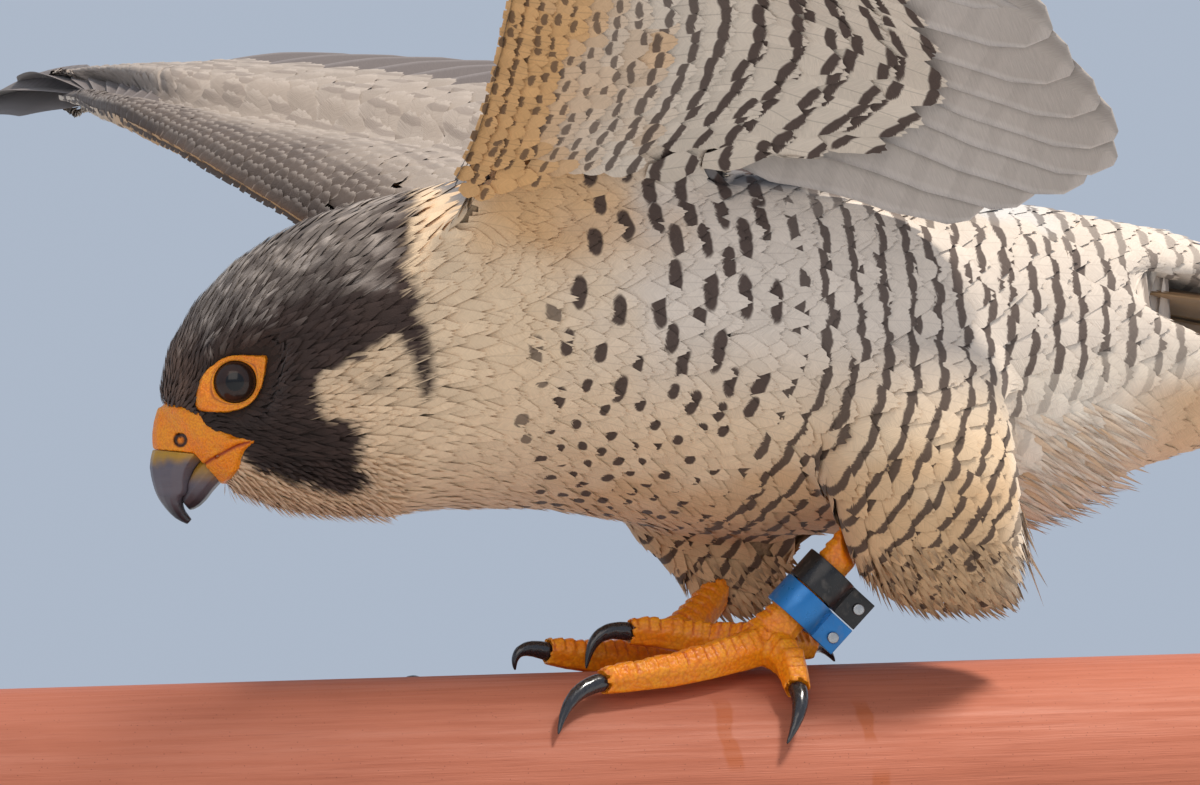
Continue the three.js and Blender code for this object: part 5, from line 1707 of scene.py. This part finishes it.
class FALCON_OT_eyes(bpy.types.Operator):
    """Builds both eyes with a bulging cornea, and the bare ring round each"""

    bl_idname = "falcon.eyes"
    bl_label = "Eyes and Eye Rings"

    def execute(self, context):
        bare = context.scene.falcon_bare
        finish = eye_finish("eye_finish", bare)
        ring_finish = bare_skin_finish("eye_ring_finish", bare, False)
        for name, side in (("left", 1), ("right", -1)):
            shape = bmesh.new()
            bmesh.ops.create_uvsphere(shape, u_segments=64, v_segments=40, radius=EYE_RADIUS * MM)
            axis = HEAD_LEFT * side
            turn = Vector((0, 0, 1)).rotation_difference(Vector(axis)).to_matrix().to_4x4()
            bmesh.ops.transform(shape, matrix=turn, verts=shape.verts)
            centre = Vector(head_point(0, side * EYE_OUT, 0)) * MM
            mesh = finished(shape, f"eye_{name}_ball")
            points = mesh_points(mesh)
            out = points @ axis / EYE_RADIUS
            bulge = smooth(out, 0.62, 1.0) * 0.55
            points = points * (1 + bulge / EYE_RADIUS)[:, None]
            from_axis = np.linalg.norm(points - (points @ axis)[:, None] * axis, axis=1)
            up = HEAD_UP - axis * (HEAD_UP @ axis)
            beside = np.cross(axis, up)
            angle = np.arctan2(points @ up, points @ beside)
            set_points(mesh, points + np.array(centre) / MM)
            set_layer(mesh, "iris", from_axis / 6.2)
            set_layer(mesh, "fibre", np.abs(angle) * 3)
            place(f"eye_{name}_ball", mesh, finish, "eye", f"eye_{name}")
            place(f"eye_{name}_ring", self.ring(name, side), ring_finish, "bare_skin", f"lids_{name}")
        return {"FINISHED"}

    def ring(self, name, side, turns=96, steps=16):
        """The bare ring, from the cornea's rim out to its outline, which is tucked under the feathers."""
        outline = np.array(RING_LINE, float)
        angles = np.arctan2(outline[:, 1], outline[:, 0])
        order = np.argsort(angles)
        turn = np.linspace(-math.pi, math.pi, turns + 1)
        outer = np.interp(turn, angles[order], np.linalg.norm(outline[order], axis=1), period=2 * math.pi)
        outer = (outer + np.roll(outer[:-1], 1)[np.arange(turns + 1) % turns]) / 2 + 0.5
        shape = bmesh.new()
        bmesh.ops.create_grid(shape, x_segments=turns, y_segments=steps, size=0.5)
        shape.verts.ensure_lookup_table()
        tree = HIDE["skin"].tree
        shares = []
        for vert in shape.verts:
            column = int(round((vert.co.x + 0.5) * turns))
            share = vert.co.y + 0.5
            radius = IRIS_RADIUS + (outer[column] - IRIS_RADIUS) * share
            forward, up = radius * math.cos(turn[column]), radius * math.sin(turn[column])
            far = Vector(head_point(forward, side * 40, up))
            hit = tree.ray_cast(far, Vector(-HEAD_LEFT * side))
            edge = 40 - hit[3] + 0.35 if hit[0] is not None else RING_LEVEL - 2
            fold = 0.1 * math.sin(5.5 * math.pi * share) * smooth(share, 0.1, 0.4)
            out = RING_LEVEL + (edge - RING_LEVEL) * share + 0.5 * math.sin(math.pi * share) ** 0.6 + fold
            out -= 1.6 * float(smooth(share, 0.88, 1.0)) + 0.8 * float(smooth(share, 0.06, 0.0))
            vert.co = Vector(head_point(forward, side * out, up)) * MM
            shares.append(share)
        layer = shape.verts.layers.float.new("ring")
        for vert, share in zip(shape.verts, shares):
            vert[layer] = share
        bmesh.ops.remove_doubles(shape, verts=shape.verts, dist=2e-6)
        bmesh.ops.recalc_face_normals(shape, faces=shape.faces)
        middle = shape.faces[:][len(shape.faces) // 2]
        if middle.normal.dot(Vector(HEAD_LEFT * side)) < 0:
            bmesh.ops.reverse_faces(shape, faces=shape.faces)
        return finished(shape, f"eye_{name}_ring")


class FALCON_OT_bill(bpy.types.Operator):
    """Builds the bare face, the cere and both halves of the bill"""

    bl_idname = "falcon.bill"
    bl_label = "Bill and Cere"

    def execute(self, context):
        bare = context.scene.falcon_bare
        whole = melted(merged_copy(["head", "cere"], 0.0003), "face_skin", FACE_VOXEL, 9)
        points = mesh_points(whole)
        outside = -line_distance(in_head(points)[:, [0, 2]], BARE_LINE)
        sink = 0.05 + 1.25 * smooth(outside, -0.2, 1.4) + 0.8 * smooth(outside, 1.4, 4.0)
        set_points(whole, points - mesh_normals(whole) * sink[:, None])
        shape = bmesh.new()
        shape.from_mesh(whole)
        bpy.data.meshes.remove(whole)
        beyond = [vert for vert, away in zip(shape.verts, outside) if away > 4.0]
        bmesh.ops.delete(shape, geom=beyond, context="VERTS")
        open_edges = [edge for edge in shape.edges if edge.is_boundary]
        bmesh.ops.holes_fill(shape, edges=open_edges, sides=0)
        bmesh.ops.triangulate(shape, faces=[face for face in shape.faces if len(face.verts) > 4])
        face = finished(shape, "face_skin")
        self.mouth_and_nostril(face)
        place("face_skin", face, bare_skin_finish("face_finish", bare, False), "bare_skin", "cere")
        for node, upper, grow, root, tall in (
            ("bill_upper", True, 0.00025, -20.0, 20.0), ("bill_lower", False, 0.0, -19.0, 18.0),
        ):
            mesh = melted(merged_copy([node], grow), f"{node}_horn", BILL_VOXEL, 6)
            reach = (root - in_head(mesh_points(mesh))[:, 2]) / tall
            set_layer(mesh, "reach", np.clip(reach, 0, 1))
            place(f"{node}_horn", mesh, horn_finish(f"{node}_finish", bare, upper), "bill_horn", node)
        return {"FINISHED"}

    def mouth_and_nostril(self, mesh):
        """Sinks the mouth's line and the nostril's opening, and marks both for the finish; the nostril's
        opening is painted near-black as painted shade.
        """
        points = mesh_points(mesh)
        local = in_head(points)
        flat = local[:, [0, 2]]
        line = np.array(MOUTH_LINE, float)
        gap = np.full(len(points), 1e9)
        for a, b in zip(line[:-1], line[1:]):
            share = np.clip(((flat - a) @ (b - a)) / ((b - a) @ (b - a)), 0, 1)
            gap = np.minimum(gap, np.linalg.norm(flat - a - share[:, None] * (b - a), axis=1))
        mouth = np.exp(-((gap / 0.45) ** 2)) * (np.abs(local[:, 1]) > 3)
        pit = np.hypot(flat[:, 0] - NOSTRIL[0], flat[:, 1] - NOSTRIL[1])
        pit = smooth(pit, NOSTRIL_RADIUS, NOSTRIL_RADIUS - 0.5) * smooth(pit, 0.5, 1.1)
        points = points - mesh_normals(mesh) * (0.45 * mouth + 0.5 * pit)[:, None]
        set_points(mesh, points)
        set_layer(mesh, "mouth", mouth)
        set_layer(mesh, "pit", pit)


class FALCON_OT_feet(bpy.types.Operator):
    """Builds both feet with stepped scutes on the toes"""

    bl_idname = "falcon.feet"
    bl_label = "Feet"

    def execute(self, context):
        bare = context.scene.falcon_bare
        finish = bare_skin_finish("foot_finish", bare, True)
        for side in ("left", "right"):
            mesh = melted(merged_copy([f"foot_{side}"]), f"foot_{side}_skin", FOOT_VOXEL, 10)
            points = mesh_points(mesh)
            normals = mesh_normals(mesh)
            best = np.full(len(points), 1e9)
            reach = np.zeros(len(points))
            ways = np.zeros((len(points), 3))
            for toe in TOES[side]:
                line = spline(range(len(toe)), toe, np.linspace(0, len(toe) - 1, 60))
                run = run_along(line)
                gap = np.linalg.norm(points[:, None] - line[None], axis=2)
                nearest = gap.argmin(axis=1)
                closer = gap.min(axis=1) < best
                best = np.where(closer, gap.min(axis=1), best)
                reach = np.where(closer, run[nearest], reach)
                heading = np.gradient(line, axis=0)[nearest]
                ways = np.where(closer[:, None], unit(heading), ways)
            step = (reach / SCUTE_PITCH) % 1
            top = smooth(normals[:, 2] - 0.3 * np.abs(ways[:, 2]), -0.1, 0.5)
            plate = (1 - step) * smooth(step, 0.0, 0.12)
            points = points + normals * (top * plate * bare.scute_rise / MM)[:, None]
            set_points(mesh, points)
            crease = top * np.maximum(1 - smooth(step, 0, 0.16), smooth(step, 0.86, 1.0))
            set_layer(mesh, "scute", crease)
            place(f"foot_{side}_skin", mesh, finish, "bare_skin", f"foot_{side}")
        return {"FINISHED"}


class FALCON_OT_claws(bpy.types.Operator):
    """Builds the eight claws"""

    bl_idname = "falcon.claws"
    bl_label = "Claws"

    def execute(self, context):
        finish = claw_finish("claw_finish", context.scene.falcon_bare)
        for side in ("left", "right"):
            for toe in ("hallux", "inner", "middle", "outer"):
                node = f"claw_{side}_{toe}"
                mesh = finished(
                    merged_copy([node]), f"{node}_horn",
                    ("SUBSURF", {"levels": 2, "render_levels": 2}),
                )
                place(f"{node}_horn", mesh, finish, "claw_horn", node)
        return {"FINISHED"}


class FALCON_OT_leg_band(bpy.types.Operator):
    """Builds the two-colour leg band and its rivets, left bare"""

    bl_idname = "falcon.leg_band"
    bl_label = "Leg Band"

    def execute(self, context):
        band = context.scene.falcon_band
        for node, tone, slot in (
            ("leg_band_upper", band.upper, "band_black"),
            ("leg_band_lower", band.lower, "band_blue"),
        ):
            mesh = finished(eased_copy(node, BAND_EDGE), f"{node}_sleeve")
            mesh.set_sharp_from_angle(angle=math.radians(35))
            place(f"{node}_sleeve", mesh, band_finish(f"{node}_finish", tone), slot, node)
        finish = rivet_finish("rivet_finish", band.rivet)
        for node in ("leg_band_rivet_upper", "leg_band_rivet_lower"):
            mesh = finished(eased_copy(node, RIVET_EDGE), f"{node}_head")
            place(f"{node}_head", mesh, finish, "rivet_metal", node)
        return {"FINISHED"}


class FALCON_OT_perch(bpy.types.Operator):
    """Builds the painted rail"""

    bl_idname = "falcon.perch"
    bl_label = "Rail"

    def execute(self, context):
        perch = context.scene.falcon_perch
        low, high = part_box("perch_rail")
        shape = bmesh.new()
        radius = (high.z - low.z) / 2
        bmesh.ops.create_cone(shape, cap_ends=True, segments=160, radius1=radius, radius2=radius,
                              depth=high.x - low.x)
        rims = [edge for edge in shape.edges if edge.calc_face_angle(0) > 1]
        ease(shape, rims, perch.edge, 4)
        lie = Matrix.Translation(Vector((0, 0, (low.z + high.z) / 2))) @ Matrix.Rotation(math.pi / 2, 4, "Y")
        bmesh.ops.transform(shape, matrix=lie, verts=shape.verts)
        mesh = finished(shape, "painted_rail")
        mesh.set_sharp_from_angle(angle=math.radians(40))
        place("painted_rail", mesh, rail_finish("rail_finish", perch), "rail_paint", "perch_rail")
        return {"FINISHED"}


class FALCON_OT_stand(bpy.types.Operator):
    """Builds the display base with eased edges, and gives its rods the same finish"""

    bl_idname = "falcon.stand"
    bl_label = "Stand"

    def execute(self, context):
        perch = context.scene.falcon_perch
        finish = stand_finish("stand_finish", perch)
        low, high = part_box("stand_base")
        shape = bmesh.new()
        bmesh.ops.create_cube(shape, size=1.0)
        size = high - low
        fit = Matrix.Translation((low + high) / 2) @ Matrix.Diagonal((*size, 1.0))
        bmesh.ops.transform(shape, matrix=fit, verts=shape.verts)
        ease(shape, shape.edges[:], perch.edge, 4)
        mesh = finished(shape, "stand_plate")
        mesh.set_sharp_from_angle(angle=math.radians(40))
        place("stand_plate", mesh, finish, "stand_metal", "stand_base")
        for node in ("stand_rod_front", "stand_rod_back"):
            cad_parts[node].data.materials.clear()
            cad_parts[node].data.materials.append(finish)
        return {"FINISHED"}


class FALCON_PT_panel(bpy.types.Panel):
    """Lists the falcon's settings and building steps"""

    bl_label = "Falcon"
    bl_idname = "FALCON_PT_panel"
    bl_space_type = "VIEW_3D"
    bl_region_type = "UI"
    bl_category = "Falcon"

    def draw(self, context):
        layout = self.layout
        for owner, group in GROUPS:
            box = layout.box()
            box.label(text=group.__doc__)
            settings = getattr(context.scene, owner)
            for key in group.__annotations__:
                box.prop(settings, key)
        for operator in OPERATORS:
            layout.operator(operator.bl_idname)


GROUPS = (
    ("falcon_plumage", FalconPlumage),
    ("falcon_bare", FalconBareParts),
    ("falcon_band", FalconBand),
    ("falcon_perch", FalconPerch),
    ("falcon_stage", FalconStage),
)
OPERATORS = (
    FALCON_OT_stage,
    FALCON_OT_skin,
    FALCON_OT_head_feathers,
    FALCON_OT_body_feathers,
    FALCON_OT_wing_coverts,
    FALCON_OT_flight_feathers,
    FALCON_OT_eyes,
    FALCON_OT_bill,
    FALCON_OT_feet,
    FALCON_OT_claws,
    FALCON_OT_leg_band,
    FALCON_OT_perch,
    FALCON_OT_stand,
)


def register():
    for owner, group in GROUPS:
        bpy.utils.register_class(group)
        setattr(bpy.types.Scene, owner, PointerProperty(type=group))
    for kind in (*OPERATORS, FALCON_PT_panel):
        bpy.utils.register_class(kind)


def unregister():
    for kind in (FALCON_PT_panel, *reversed(OPERATORS)):
        bpy.utils.unregister_class(kind)
    for owner, group in reversed(GROUPS):
        delattr(bpy.types.Scene, owner)
        bpy.utils.unregister_class(group)


def main():
    register()
    for operator in OPERATORS:
        family, name = operator.bl_idname.split(".")
        getattr(getattr(bpy.ops, family), name)()


if __name__ == "__main__":
    main()
